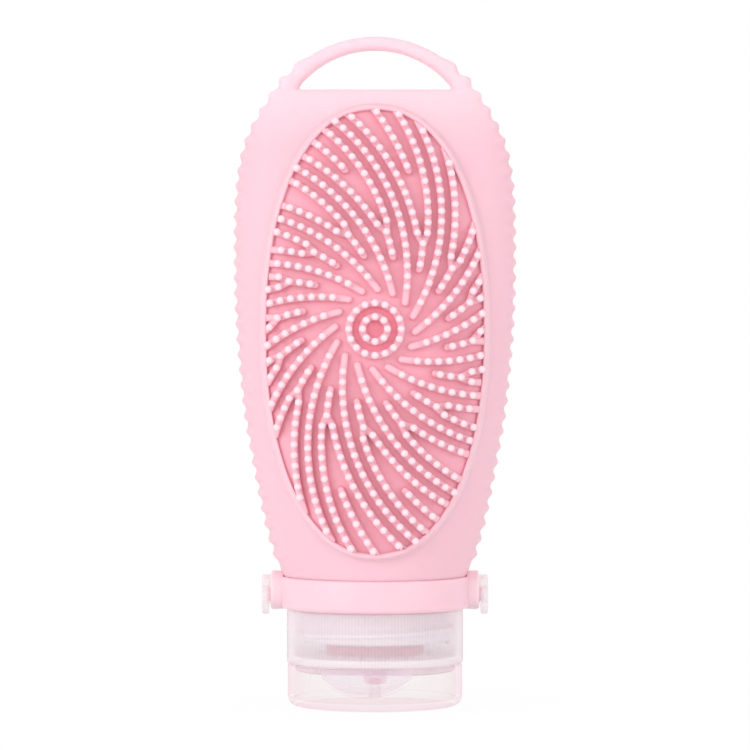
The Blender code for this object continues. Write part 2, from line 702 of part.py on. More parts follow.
def add_thread(work_mesh, wall_radius, rise, first_height, turns, first_angle):
    """A helical ridge on a wall; a negative rise points it inwards."""
    root = wall_radius - math.copysign(BLEND_DEPTH, rise)
    steps = round(turns * THREAD_STEPS_PER_TURN)
    rings = []
    for i in range(steps + 1):
        turn = 2 * math.pi * i / THREAD_STEPS_PER_TURN
        angle = first_angle + turn
        height = first_height + THREAD_PITCH * turn / (2 * math.pi)
        crest = wall_radius + (THREAD_END_SHARE * rise if i in (0, steps) else rise)
        ring = []
        for radius, offset in ((root, -THREAD_ROOT_WIDTH), (crest, -THREAD_CREST_WIDTH),
                               (crest, THREAD_CREST_WIDTH), (root, THREAD_ROOT_WIDTH)):
            ring.append((radius * math.cos(angle), radius * math.sin(angle), height + offset / 2))
        rings.append(ring)
    add_loft(work_mesh, rings)


NECK_THREAD_START = INSERT_MOUTH + THREAD_LEAD_IN


def build_neck_insert(material):
    """Hard tube with the outer thread, the flange under the silicone neck and its sleeve."""
    sleeve_top = FLANGE_TOP + SLEEVE_REACH
    bore = INSERT_RADIUS - INSERT_WALL
    edge = SKIRT_EDGE
    profile = [(bore, INSERT_MOUTH), (INSERT_RADIUS - edge, INSERT_MOUTH),
               (INSERT_RADIUS, INSERT_MOUTH + edge), (INSERT_RADIUS, FLANGE_BASE),
               (NECK_RADIUS, FLANGE_BASE), (NECK_RADIUS, FLANGE_TOP), (SLEEVE_RADIUS, FLANGE_TOP),
               (SLEEVE_RADIUS, sleeve_top), (SLEEVE_BORE_RADIUS, sleeve_top),
               (SLEEVE_BORE_RADIUS, FLANGE_BASE)]
    insert = turned("neck_insert", profile, material)
    thread = bmesh.new()
    add_thread(thread, INSERT_RADIUS, THREAD_RISE, NECK_THREAD_START, NECK_THREAD_TURNS, 0.0)
    join(insert, make_object("neck_thread", outward(thread)), "UNION")
    return insert


def build_collar(material):
    """Ring round the neck, with a round boss and a pivot on each side."""
    lip = COLLAR_BORE - COLLAR_LIP_WIDTH
    outer = COLLAR_RADIUS - COLLAR_EDGE
    profile = [(lip, COLLAR_BASE)]
    profile += corner_arc(outer, COLLAR_BASE + COLLAR_EDGE, COLLAR_EDGE, -90, 0, 2)
    profile += corner_arc(outer, COLLAR_TOP - COLLAR_EDGE, COLLAR_EDGE, 0, 90, 2)
    profile += [(COLLAR_BORE, COLLAR_TOP), (COLLAR_BORE, COLLAR_BASE + COLLAR_LIP_THICKNESS),
                (lip, COLLAR_BASE + COLLAR_LIP_THICKNESS)]
    collar = turned("collar_ring", profile, material)
    bosses, pivots = bmesh.new(), bmesh.new()
    disc_face = boss_face() - BOSS_THICKNESS
    stem_root = COLLAR_RADIUS - COLLAR_EDGE
    boss_height = PIVOT_HEIGHT + PIVOT_DROP
    boss = [(0, stem_root), (BOSS_STEM_RADIUS, stem_root), (BOSS_STEM_RADIUS, disc_face)]
    boss += corner_arc(BOSS_RADIUS - BOSS_EDGE, disc_face + BOSS_EDGE, BOSS_EDGE, -90, 0, 2)
    boss += corner_arc(BOSS_RADIUS - BOSS_EDGE, boss_face() - BOSS_EDGE, BOSS_EDGE, 0, 90, 2)
    boss += [(0, boss_face())]
    pivot_end = boss_face() + FIT_GAP + BAIL_THICKNESS
    pivot = [(0, boss_face() - BLEND_DEPTH), (PIVOT_RADIUS, boss_face() - BLEND_DEPTH),
             (PIVOT_RADIUS, pivot_end - BAIL_CHAMFER), (PIVOT_RADIUS - BAIL_CHAMFER, pivot_end),
             (0, pivot_end)]
    for side in (1, -1):
        add_turned(bosses, boss, 20, side_matrix(side, boss_height))
        add_turned(pivots, pivot, 12, side_matrix(side, PIVOT_HEIGHT))
    join(collar, make_object("bosses", outward(bosses)), "UNION")
    join(collar, make_object("pivots", outward(pivots)), "UNION")
    return collar


def boss_face():
    """Distance of a boss's outer face from the bottle's axis: its disc clears the body's base."""
    base_width = OUTLINE_WIDTH(PIVOT_HEIGHT + PIVOT_DROP + BOSS_RADIUS) - TOOTH_DEPTH
    return max(base_width, COLLAR_RADIUS) + FIT_GAP + BOSS_THICKNESS


def side_matrix(side, height):
    """Lay a turned shape's axis along +X or -X at a height."""
    return Matrix.Translation((0, 0, height)) @ Matrix.Rotation(side * math.pi / 2, 4, "Y")


def bail_route():
    """Half of the hoop's middle line from its eye to the middle of the cross bar, with headings."""
    arm = boss_face() + FIT_GAP + BAIL_THICKNESS / 2
    straight = BAIL_REACH - BAIL_CORNER
    route = [(arm, share * straight, 0.0) for share in BAIL_STATION_SHARES]
    for i in range(BAIL_CORNER_STEPS + 1):
        turn = math.pi / 2 * i / BAIL_CORNER_STEPS
        route.append((arm - BAIL_CORNER * (1 - math.cos(turn)),
                      straight + BAIL_CORNER * math.sin(turn), turn))
    route.append((0.0, BAIL_REACH, math.pi / 2))
    return route


def bail_section(across, back, turn, height):
    """A flat bar's ring with chamfered corners, square to the route."""
    half = BAIL_THICKNESS / 2 - BAIL_EYE_STEP
    tall = height / 2
    corners = ((half, tall - BAIL_CHAMFER), (half - BAIL_CHAMFER, tall), (BAIL_CHAMFER - half, tall),
               (-half, tall - BAIL_CHAMFER), (-half, BAIL_CHAMFER - tall), (BAIL_CHAMFER - half, -tall),
               (half - BAIL_CHAMFER, -tall), (half, BAIL_CHAMFER - tall))
    return [(across + out * math.cos(turn), back + out * math.sin(turn), PIVOT_HEIGHT + up)
            for out, up in corners]


def build_bail(material):
    """Carry hoop: two round eyes, two arms and a cross bar behind the bottle."""
    near_eye = [(back * BAIL_EYE_RADIUS, tall * BAIL_EYE_RADIUS) for back, tall in BAIL_TAPER_SHARES]
    taper = smooth_curve(near_eye + [(BAIL_TAPER_END_SHARE * BAIL_EYE_RADIUS, BAIL_ARM_HEIGHT),
                                     (BAIL_REACH, BAIL_ARM_HEIGHT)])
    half = [bail_section(across, back, turn, taper(back)) for across, back, turn in bail_route()]
    mirrored = [[(-x, y, z) for x, y, z in ring] for ring in reversed(half[:-1])]
    work_mesh = bmesh.new()
    add_loft(work_mesh, half + mirrored)
    bail = make_object("carry_bail", outward(work_mesh), material)
    near = boss_face() + FIT_GAP
    far = near + BAIL_THICKNESS
    eye = [(0, near), (BAIL_EYE_RADIUS - BAIL_CHAMFER, near), (BAIL_EYE_RADIUS, near + BAIL_CHAMFER),
           (BAIL_EYE_RADIUS, far - BAIL_CHAMFER), (BAIL_EYE_RADIUS - BAIL_CHAMFER, far), (0, far)]
    hole_radius = PIVOT_RADIUS + BAIL_PIVOT_FLOAT
    hole = [(0, near - OVERRUN), (hole_radius, near - OVERRUN), (hole_radius, far + OVERRUN),
            (0, far + OVERRUN)]
    eyes, holes = bmesh.new(), bmesh.new()
    for side in (1, -1):
        add_turned(eyes, eye, 20, side_matrix(side, PIVOT_HEIGHT))
        add_turned(holes, hole, 12, side_matrix(side, PIVOT_HEIGHT))
    join(bail, make_object("eyes", outward(eyes)), "UNION")
    join(bail, make_object("holes", outward(holes)), "DIFFERENCE")
    set_origin(bail, Vector((0, 0, PIVOT_HEIGHT)))
    return bail


def hinge_leaf(name, wall_radius, side):
    """One leaf of the film hinge: a wedge from the wall to the fold line, above or below it."""
    fold = HINGE_AXIS.z + side * FIT_GAP / 2
    tail = fold + side * HINGE_FILM
    outline = ((wall_radius - LID_WALL / 2, fold), (HINGE_AXIS.y, fold), (HINGE_AXIS.y, tail),
               (wall_radius, fold + side * HINGE_ROOT), (wall_radius - LID_WALL / 2, fold + side * HINGE_ROOT))
    work_mesh = bmesh.new()
    add_loft(work_mesh, [[(across, back, height) for back, height in outline]
                         for across in (-HINGE_HALF_WIDTH, HINGE_HALF_WIDTH)])
    return make_object(name, outward(work_mesh))


def build_seat_lip():
    """The ring that the lid closes over, left out where the thumb recess comes through it."""
    outer = LID_RADIUS - LID_WALL - FIT_GAP
    base = SKIRT_BASE - SEAT_LIP_DROP
    top = SKIRT_BASE + BLEND_DEPTH
    lip = turned("seat_lip", [(outer - SEAT_LIP_WALL, base), (outer, base), (outer, top),
                              (outer - SEAT_LIP_WALL, top)], segments=40)
    join(lip, thumb_cutter("lip_notch", LID_WALL + FIT_GAP), "DIFFERENCE")
    return lip


def build_skirt(material, cap_axis):
    """Screw skirt with its deck, spout, seat lip, inner thread and hinge leaf."""
    spout_end = SKIRT_BASE - SPOUT_LENGTH
    tip_edge = SPOUT_RADIUS - SPOUT_TIP_RADIUS
    profile = [(SPOUT_BORE_RADIUS, spout_end), (SPOUT_TIP_RADIUS, spout_end),
               (SPOUT_RADIUS, spout_end + tip_edge), (SPOUT_RADIUS, SKIRT_BASE),
               (SKIRT_RADIUS - SKIRT_EDGE, SKIRT_BASE), (SKIRT_RADIUS, SKIRT_BASE + SKIRT_EDGE),
               (SKIRT_RADIUS, SKIRT_TOP - SKIRT_EDGE), (SKIRT_RADIUS - SKIRT_EDGE, SKIRT_TOP),
               (SKIRT_BORE, SKIRT_TOP), (SKIRT_BORE, DECK_TOP), (SPOUT_BORE_RADIUS, DECK_TOP)]
    skirt = turned("cap_skirt", profile, material, segments=40)
    join(skirt, build_seat_lip(), "UNION")
    thread = bmesh.new()
    add_thread(thread, SKIRT_BORE, -THREAD_RISE, NECK_THREAD_START + THREAD_PITCH / 2,
               CAP_THREAD_TURNS, -CAP_REST_TURN)
    join(skirt, make_object("cap_thread", outward(thread)), "UNION")
    join(skirt, hinge_leaf("skirt_leaf", SKIRT_RADIUS, 1), "UNION")
    set_origin(skirt, Vector((0, 0, 0)), cap_axis)
    return skirt


def thumb_cutter(name, grow):
    """A tapered half-oval recess in the lid's front, or the same one grown by the wall."""
    ledge_back = -math.sqrt(LID_RADIUS ** 2 - THUMB_HALF_WIDTH ** 2) + grow
    rings = []
    for back, widen in ((-LID_RADIUS - OVERRUN, THUMB_LEDGE), (-LID_RADIUS, THUMB_LEDGE), (ledge_back, 0.0)):
        wide = THUMB_HALF_WIDTH + widen + grow
        tall = THUMB_DROP - THUMB_LEDGE + widen + grow
        ring = []
        for i in range(THUMB_SIDES):
            angle = 2 * math.pi * i / THUMB_SIDES
            ring.append((wide * math.cos(angle), back, LID_HEIGHT + tall * math.sin(angle)))
        rings.append(ring)
    work_mesh = bmesh.new()
    add_loft(work_mesh, rings)
    return make_object(name, outward(work_mesh))


def build_lid(material, cap_axis):
    """Flip lid with its thumb recess, plug and hinge leaf."""
    inner = LID_RADIUS - LID_WALL
    inner_corner = LID_CORNER - LID_WALL
    outer_profile = [(0, 0)] + corner_arc(LID_RADIUS - LID_CORNER, LID_CORNER, LID_CORNER, -90, 0)
    outer_profile += [(LID_RADIUS, LID_HEIGHT), (0, LID_HEIGHT)]
    lid = turned("flip_lid", outer_profile, material, segments=40)
    join(lid, thumb_cutter("thumb", 0.0), "DIFFERENCE")
    spout_end = SKIRT_BASE - SPOUT_LENGTH
    boss_top = LID_END_THICKNESS + LID_BOSS_RISE
    cavity_top = LID_HEIGHT + OVERRUN
    hollow = [(0, spout_end + PLUG_REACH), (PLUG_TIP_SHARE * PLUG_RADIUS, spout_end + PLUG_REACH),
              (PLUG_RADIUS, spout_end + PLUG_TAPER_SHARE * PLUG_REACH), (PLUG_RADIUS, boss_top),
              (LID_BOSS_RADIUS, boss_top), (LID_BOSS_RADIUS, LID_END_THICKNESS)]
    hollow += corner_arc(inner - inner_corner, LID_END_THICKNESS + inner_corner, inner_corner, -90, 0, 2)
    hollow += [(inner, cavity_top), (0, cavity_top)]
    hollow_cutter = turned("hollow", hollow, segments=40)
    join(hollow_cutter, thumb_cutter("thumb_wall", LID_WALL), "DIFFERENCE")
    join(lid, hollow_cutter, "DIFFERENCE")
    join(lid, hinge_leaf("lid_leaf", LID_RADIUS, -1), "UNION")
    set_origin(lid, HINGE_AXIS, cap_axis)
    return lid


def build_gasket(material):
    outer = SKIRT_BORE - 2 * FIT_GAP
    top = GASKET_BASE + GASKET_THICKNESS
    return turned("lid_gasket", [(outer - GASKET_WIDTH, GASKET_BASE), (outer, GASKET_BASE),
                                 (outer, top), (outer - GASKET_WIDTH, top)], material)


def build_valve(material, cap_axis):
    """Silicone disc with a thick rim and a crossed slit through its thin middle."""
    top = GASKET_BASE + VALVE_THICKNESS
    membrane_top = GASKET_BASE + VALVE_MEMBRANE
    rim = VALVE_RADIUS - VALVE_RIM_WIDTH
    profile = [(0, GASKET_BASE), (VALVE_RADIUS, GASKET_BASE), (VALVE_RADIUS, top), (rim, top),
               (rim - VALVE_MEMBRANE, membrane_top), (0, membrane_top)]
    valve = turned("dispensing_valve", profile, material)
    for long_x, long_y in ((SLIT_LENGTH, SLIT_WIDTH), (SLIT_WIDTH, SLIT_LENGTH)):
        slit = bmesh.new()
        bmesh.ops.create_cube(slit, size=1)
        bmesh.ops.scale(slit, vec=(long_x, long_y, 2 * VALVE_THICKNESS), verts=slit.verts)
        bmesh.ops.translate(slit, vec=(0, 0, GASKET_BASE), verts=slit.verts)
        join(valve, make_object("slit", slit), "DIFFERENCE")
    set_origin(valve, Vector((0, 0, 0)), cap_axis)
    return valve


def build_retainer(material, cap_axis):
    """Ring round the valve with a lip over its rim."""
    inner = VALVE_RADIUS + FIT_GAP
    lip_base = GASKET_BASE + VALVE_THICKNESS + FIT_GAP
    top = lip_base + RETAINER_LIP_THICKNESS
    profile = [(inner, GASKET_BASE), (inner + RETAINER_WALL, GASKET_BASE), (inner + RETAINER_WALL, top),
               (inner - RETAINER_LIP, top), (inner - RETAINER_LIP, lip_base), (inner, lip_base)]
    retainer = turned("valve_retainer", profile, material)
    set_origin(retainer, Vector((0, 0, 0)), cap_axis)
    return retainer


def build():
    clear_scene()
    silicone = plastic("pink_silicone", (0.95, 0.66, 0.71), 0.45, subsurface=0.15)
    bristle_silicone = plastic("brush_silicone", (0.90, 0.42, 0.50), 0.45, subsurface=0.15)
    collar_plastic = plastic("pink_polypropylene", (0.96, 0.65, 0.72), 0.35)
    clear_plastic = plastic("milky_polypropylene", (0.93, 0.86, 0.89), 0.3, transmission=0.6)
    valve_silicone = plastic("valve_silicone", (0.94, 0.55, 0.62), 0.45)

    cap_axis = bpy.data.objects.new("cap_axis", None)
    bpy.context.scene.collection.objects.link(cap_axis)
    cap_axis.rotation_euler.z = CAP_REST_TURN

    build_bottle_body(silicone)
    build_brush_pad(bristle_silicone)
    build_neck_insert(clear_plastic)
    build_collar(collar_plastic)
    build_bail(clear_plastic)
    build_gasket(valve_silicone)
    build_skirt(clear_plastic, cap_axis)
    build_lid(clear_plastic, cap_axis)
    build_valve(valve_silicone, cap_axis)
    build_retainer(collar_plastic, cap_axis)


build()
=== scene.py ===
import math

import bpy
from mathutils import Matrix, Vector


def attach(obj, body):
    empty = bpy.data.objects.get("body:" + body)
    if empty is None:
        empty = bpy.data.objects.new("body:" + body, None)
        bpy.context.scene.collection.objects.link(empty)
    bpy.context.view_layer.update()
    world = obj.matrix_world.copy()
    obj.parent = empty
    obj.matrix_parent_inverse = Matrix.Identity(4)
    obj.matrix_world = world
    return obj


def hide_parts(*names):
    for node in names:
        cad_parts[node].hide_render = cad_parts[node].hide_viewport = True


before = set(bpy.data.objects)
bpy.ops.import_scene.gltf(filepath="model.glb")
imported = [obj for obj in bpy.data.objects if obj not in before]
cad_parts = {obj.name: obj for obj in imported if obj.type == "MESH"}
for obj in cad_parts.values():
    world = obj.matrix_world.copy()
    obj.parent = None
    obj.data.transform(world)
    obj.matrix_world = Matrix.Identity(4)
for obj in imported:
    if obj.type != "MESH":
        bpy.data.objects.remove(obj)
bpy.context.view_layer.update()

MM = 0.001

# Sizes of the bottle's pieces, as they are moulded, from the floor up
FIT_GAP = 0.3 * MM

LID_RADIUS = 18.15 * MM
LID_HEIGHT = 8.5 * MM
LID_WALL = 1.3 * MM
LID_END_THICKNESS = 1.5 * MM
LID_CORNER = 2.0 * MM
PLUG_RADIUS = 1.1 * MM
PLUG_REACH = -0.1 * MM         # the plug stops at the spout's end
THUMB_HALF_WIDTH = 10.0 * MM
THUMB_DROP = 5.0 * MM
THUMB_LEDGE = 1.6 * MM
THUMB_BEAD = 0.38 * MM
THUMB_FRONT = 11.0 * MM        # how far forward of the axis the recess's walls begin
THUMB_LOW = 2.0 * MM           # below this the lid has no recess

SKIRT_BASE = LID_HEIGHT + FIT_GAP
SKIRT_RADIUS = 18.3 * MM
SKIRT_BORE = 17.0 * MM
SKIRT_TOP = SKIRT_BASE + 11.2 * MM
DECK_TOP = SKIRT_BASE + 1.5 * MM
SEAT_STEP_DROP = 1.6 * MM
SPOUT_RADIUS = 2.4 * MM
SPOUT_TIP_RADIUS = 1.95 * MM
SPOUT_BORE_RADIUS = 1.45 * MM
SPOUT_LENGTH = 4.4 * MM
SPOUT_AURA = 2.7 * MM          # the spout's tint ends at this radius
RIB_COUNT = 170
RIB_DEPTH = 0.07 * MM
CAP_TURN = Matrix.Rotation(math.radians(-6.3), 4, "Z")

HINGE_HALF_WIDTH = 5.0 * MM
HINGE_LINE = (SKIRT_RADIUS + 1.1 * MM, LID_HEIGHT + FIT_GAP / 2)
HINGE_FILM = 0.5 * MM
HINGE_ROOT = 2.2 * MM

THREAD_PITCH = 3.0 * MM
THREAD_RISE = 1.0 * MM
GASKET_BASE = DECK_TOP + FIT_GAP
GASKET_TOP = GASKET_BASE + 0.9 * MM
GASKET_RADIUS = 16.4 * MM
GASKET_WIDTH = 4.8 * MM
VALVE_RADIUS = 8.5 * MM
VALVE_RIM = 1.8 * MM
SLIT_LENGTH = 7.0 * MM
SLIT_WIDTH = 0.3 * MM
RETAINER_WALL = 1.4 * MM
RETAINER_LIP = 1.2 * MM
VALVE_TOP = GASKET_BASE + 1.6 * MM
VALVE_FILM_TOP = GASKET_BASE + 0.7 * MM
INSERT_MOUTH = GASKET_TOP + FIT_GAP
INSERT_RADIUS = 15.4 * MM
TUBE_MOUTH = INSERT_MOUTH + 1.5 * MM
SPOUT_HOLE_DEPTH = 1.0 * MM

COLLAR_BASE = SKIRT_TOP + FIT_GAP
COLLAR_TOP = COLLAR_BASE + 6.5 * MM
COLLAR_RADIUS = 19.6 * MM
COLLAR_BORE = 17.0 * MM
COLLAR_EDGE = 1.1 * MM
COLLAR_TOP_EDGE = 0.7 * MM
FLANGE_BASE = COLLAR_BASE + 1.3 * MM
FLANGE_TOP = FLANGE_BASE + 1.2 * MM
NECK_END = FLANGE_TOP + FIT_GAP
NECK_RADIUS = 16.7 * MM
NECK_BORE = 15.1 * MM
SLEEVE_RADIUS = 14.8 * MM
SLEEVE_BORE = 12.9 * MM
SLEEVE_HEIGHT = 7.0 * MM

BODY_BASE = COLLAR_TOP + FIT_GAP
BODY_HEIGHT = 100.8 * MM
BODY_TOP = BODY_BASE + BODY_HEIGHT
BODY_HALF_WIDTH = 29.38 * MM
BODY_HALF_DEPTH = 20.0 * MM
BODY_WALL = 2.2 * MM
BASE_CORNER = 1.9 * MM
BASE_TURN = 40                 # degrees of the base corner's arc that show above the collar
FOOT_PRESS = 0.12 * MM         # how far the soft foot is pressed on the collar
TOP_EDGE = 0.9 * MM
TOOTH_PITCH = 3.2 * MM
TOOTH_DEPTH = 0.65 * MM
TOOTH_GAIN = 1.25              # teeth are made this much deeper, because the blend wears them down
TOOTH_END = 27                 # degrees round from the side at which a tooth has run out
TOOTH_FADE = 14                # degrees over which it runs out
SKIN_VOXEL = 0.36 * MM         # grain of the blend between body and loop
SKIN_SHARE = 0.52              # of the blended skin's triangles that are kept
FIRST_TOOTH = BODY_BASE + 4.1 * MM
LAST_TOOTH = FIRST_TOOTH + 32 * TOOTH_PITCH
LOOP_TOP = BODY_TOP + 11.1 * MM
LOOP_THICKNESS = 2.9 * MM
LOOP_DEPTH = 4.2 * MM
LOOP_OUTER_RADIUS = 24.8 * MM
LOOP_INNER_RADIUS = 20.3 * MM
LOOP_FILLET = 0.9 * MM

BOSS_FACE = 21.65 * MM
BOSS_THICKNESS = 2.2 * MM
BOSS_RADIUS = 4.05 * MM
BOSS_HEIGHT = 23.9 * MM
PIVOT_RADIUS = 1.5 * MM
PIVOT_HEIGHT = 23.0 * MM
BAIL_THICKNESS = 1.5 * MM
BAIL_EYE_RADIUS = 4.1 * MM
BAIL_ARM_HEIGHT = 5.5 * MM
BAIL_REACH = 31.2 * MM
BAIL_CORNER = 8.0 * MM

PAD_HALF_WIDTH = 23.3 * MM
PAD_HALF_HEIGHT = 46.5 * MM
PAD_CENTRE = BODY_BASE + 50.8 * MM
PAD_EXPONENT = 2.2
FIELD_ROOT = 0.6 * MM          # how deep the brush field's pieces are set in the body's front
FLOOR_LEVEL = 0.8 * MM         # the brush field's floor above the body's front
HUB_LEVEL = 1.3 * MM           # the floor inside the outer of the two round fins
HUB_RADIUS = 5.33 * MM
EYE_RADIUS = 2.53 * MM
RIM_WIDTH = 1.1 * MM
RIM_LEVEL = 1.9 * MM
RIM_FOOT = 0.45 * MM           # how far the rim's foot runs out on the body in a soft fillet
FIN_WALL_LEVEL = 1.55 * MM
FIN_LEVEL = 2.15 * MM
FIN_WIDTH = 1.56 * MM
FIN_SINK = -0.3 * MM           # where a fin's end lies once it is inside the rim, under the body's front
BALL_RADIUS = 0.80 * MM
STEM_RADIUS = 0.48 * MM
TIP_LEVEL = 4.15 * MM
BRISTLE_PITCH = 2.15 * MM


# Hand tools
def begin_edit(piece, kind="VERT"):
    """Open one piece for editing, with nothing on it selected."""
    bpy.ops.object.select_all(action="DESELECT")
    piece.select_set(True)
    bpy.context.view_layer.objects.active = piece
    bpy.ops.object.mode_set(mode="EDIT")
    bpy.ops.mesh.select_mode(type=kind)
    bpy.ops.mesh.select_all(action="DESELECT")


def end_edit():
    bpy.ops.object.mode_set(mode="OBJECT")
    return bpy.context.view_layer.objects.active


def clean_skin():
    """Merge what lies on one spot and turn the faces outwards, in edit mode."""
    bpy.ops.mesh.select_all(action="SELECT")
    bpy.ops.mesh.remove_doubles(threshold=0.002 * MM)
    bpy.ops.mesh.normals_make_consistent(inside=False)


def turned(name, outline, steps=160, place=Matrix.Identity(4), ring=False):
    """Draw an outline of (radius, height) points and spin it about the Z axis."""
    if ring:
        outline = outline + outline[:1]
    bpy.ops.object.select_all(action="DESELECT")
    bpy.ops.mesh.primitive_plane_add(size=MM, location=(0, 0, 0))
    piece = bpy.context.view_layer.objects.active
    begin_edit(piece)
    bpy.ops.mesh.select_all(action="SELECT")
    bpy.ops.mesh.merge(type="CENTER")
    bpy.ops.transform.translate(value=(outline[0][0], 0, outline[0][1]))
    for (radius, height), (next_radius, next_height) in zip(outline, outline[1:]):
        bpy.ops.mesh.extrude_vertices_move(
            TRANSFORM_OT_translate={"value": (next_radius - radius, 0, next_height - height)})
    bpy.ops.mesh.select_all(action="SELECT")
    bpy.ops.mesh.spin(steps=steps, angle=2 * math.pi, center=(0, 0, 0), axis=(0, 0, 1))
    clean_skin()
    piece = end_edit()
    piece.name = piece.data.name = name
    piece.data.transform(place)
    return piece


def wrapped(name, rings):
    """Wrap a grid primitive over rings of points, and close it along its seam."""
    around, along = len(rings[0]), len(rings)
    bpy.ops.object.select_all(action="DESELECT")
    bpy.ops.mesh.primitive_grid_add(x_subdivisions=around, y_subdivisions=along - 1, size=1)
    piece = bpy.context.view_layer.objects.active
    for vertex in piece.data.vertices:
        column = round((vertex.co.x + 0.5) * around) % around
        row = round((vertex.co.y + 0.5) * (along - 1))
        vertex.co = rings[row][column]
    begin_edit(piece)
    clean_skin()
    piece = end_edit()
    piece.name = piece.data.name = name
    return piece


def capped(rings):
    """The same rings with both ends drawn to a point."""
    first, last = (sum((Vector(p) for p in ring), Vector()) / len(ring) for ring in (rings[0], rings[-1]))
    count = len(rings[0])
    return [[first] * count] + rings + [[last] * count]


def arc(centre, radius, start, end, steps=6):
    """Outline points round a corner, from one angle to another in degrees."""
    turns = [math.radians(start + (end - start) * i / steps) for i in range(steps + 1)]
    return [(centre[0] + radius * math.cos(turn), centre[1] + radius * math.sin(turn)) for turn in turns]


def joined(pieces):
    """Join pieces into the first one."""
    bpy.ops.object.select_all(action="DESELECT")
    for piece in pieces:
        piece.select_set(True)
    bpy.context.view_layer.objects.active = pieces[0]
    bpy.ops.object.join()
    return pieces[0]


def apply_modifier(piece, kind, **settings):
    modifier = piece.modifiers.new(kind.lower(), kind)
    for setting, value in settings.items():
        setattr(modifier, setting, value)
    bpy.context.view_layer.objects.active = piece
    bpy.ops.object.modifier_apply(modifier=modifier.name)


def carve(piece, tool, operation="DIFFERENCE", solver="MANIFOLD"):
    """Cut a tool out of a piece, or fuse it on, and put the tool away."""
    apply_modifier(piece, "BOOLEAN", object=tool, operation=operation, solver=solver)
    bpy.data.objects.remove(tool, do_unlink=True)


def soften(piece, angle=35):
    """Take out the slivers that cuts leave, and shade smooth up to an edge angle."""
    begin_edit(piece)
    bpy.ops.mesh.select_all(action="SELECT")
    bpy.ops.mesh.dissolve_degenerate(threshold=0.002 * MM)
    end_edit()
    bpy.ops.object.select_all(action="DESELECT")
    piece.select_set(True)
    bpy.context.view_layer.objects.active = piece
    bpy.ops.object.shade_smooth_by_angle(angle=math.radians(angle))
    return piece


def dress(piece, material, body, slot, *nodes):
    """Give a finished piece its material and its body, and hide the nodes that it stands for."""
    piece.data.materials.clear()
    piece.data.materials.append(material)
    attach(piece, body)
    if nodes:
        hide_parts(*nodes)


# Materials
SILICONE_IOR = 1.41
POLYPROPYLENE_IOR = 1.49
FAR_FACE_MILK = 0.06           # of a wall's milk is left where light comes out of it, so it counts once
RIB_PAINTED_SHEEN = 0.018               # how much milkier a rib's crest is painted than the wall: painted light, pale lines for the ribs' shading


def pigment(hex_code):
    """A colour written as sRGB hex, turned to linear."""
    values = [int(hex_code[i:i + 2], 16) / 255 for i in (1, 3, 5)]
    return tuple(v / 12.92 if v <= 0.04045 else ((v + 0.055) / 1.055) ** 2.4 for v in values) + (1.0,)


def add_node(tree, kind, settings=None, inputs=None, links=None):
    """Add one node: its settings, its sockets' values, and links into it from other sockets."""
    node = tree.nodes.new(kind)
    for setting, value in (settings or {}).items():
        setattr(node, setting, value)
    for socket, value in (inputs or {}).items():
        node.inputs[socket].default_value = value
    for socket, source in (links or {}).items():
        tree.links.new(source, node.inputs[socket])
    return node


def new_material(name):
    material = bpy.data.materials.new(name)
    material.use_nodes = True
    tree = material.node_tree
    tree.nodes.clear()
    place = add_node(tree, "ShaderNodeTexCoord").outputs["Object"]
    return material, tree, place


def finish_material(tree, shader):
    add_node(tree, "ShaderNodeOutputMaterial", links={"Surface": shader})


def blasted_grain(tree, place):
    """The satin grain of about 0.3 mm that a fine-blasted mould leaves on rubber."""
    grain = add_node(tree, "ShaderNodeTexNoise", inputs={"Scale": 1 / (0.3 * MM), "Detail": 3.0},
                     links={"Vector": place})
    return add_node(tree, "ShaderNodeBump", inputs={"Strength": 0.12, "Distance": 0.03 * MM},
                    links={"Height": grain.outputs["Fac"]})


def soft_silicone(name, pale, deep, thin, roughness):
    """Liquid silicone rubber out of a fine-blasted steel mould.

    Light goes a few millimetres into it, so shade fills with pink. Where it is thin, as in the hanging
    loop, it is painted paler from 14 mm below the body's top upwards, a painted glow for the light
    that comes through the thin rubber. The pigment is mixed a little unevenly.
    """
    material, tree, place = new_material(name)
    cloud = add_node(tree, "ShaderNodeTexNoise", inputs={"Scale": 1 / (14 * MM), "Detail": 2.0},
                     links={"Vector": place})
    colour = add_node(tree, "ShaderNodeMix", {"data_type": "RGBA"},
                      {"A": pigment(deep), "B": pigment(pale)}, {"Factor": cloud.outputs["Fac"]})
    spot = add_node(tree, "ShaderNodeSeparateXYZ", links={"Vector": place})
    # Painted glow: the body's top and the loop are painted paler, standing in for light through the thin
    # rubber.
    painted_glow_share = add_node(tree, "ShaderNodeMapRange", {"interpolation_type": "SMOOTHSTEP"},
                        {"From Min": BODY_TOP - 14 * MM, "From Max": BODY_TOP + 2 * MM},
                        {"Value": spot.outputs["Z"]})
    colour = add_node(tree, "ShaderNodeMix", {"data_type": "RGBA"}, {"B": pigment(thin)},
                      {"Factor": painted_glow_share.outputs["Result"], "A": colour.outputs["Result"]})
    bump = blasted_grain(tree, place)
    shine = add_node(tree, "ShaderNodeMapRange",
                     inputs={"To Min": roughness - 0.05, "To Max": roughness + 0.05},
                     links={"Value": cloud.outputs["Fac"]})
    shader = add_node(tree, "ShaderNodeBsdfPrincipled",
                      inputs={"IOR": SILICONE_IOR, "Subsurface Weight": 0.4,
                              "Subsurface Radius": (1.0, 0.42, 0.48), "Subsurface Scale": 2.2 * MM},
                      links={"Base Color": colour.outputs["Result"], "Roughness": shine.outputs["Result"],
                             "Normal": bump.outputs["Normal"]})
    finish_material(tree, shader.outputs["BSDF"])
    return material


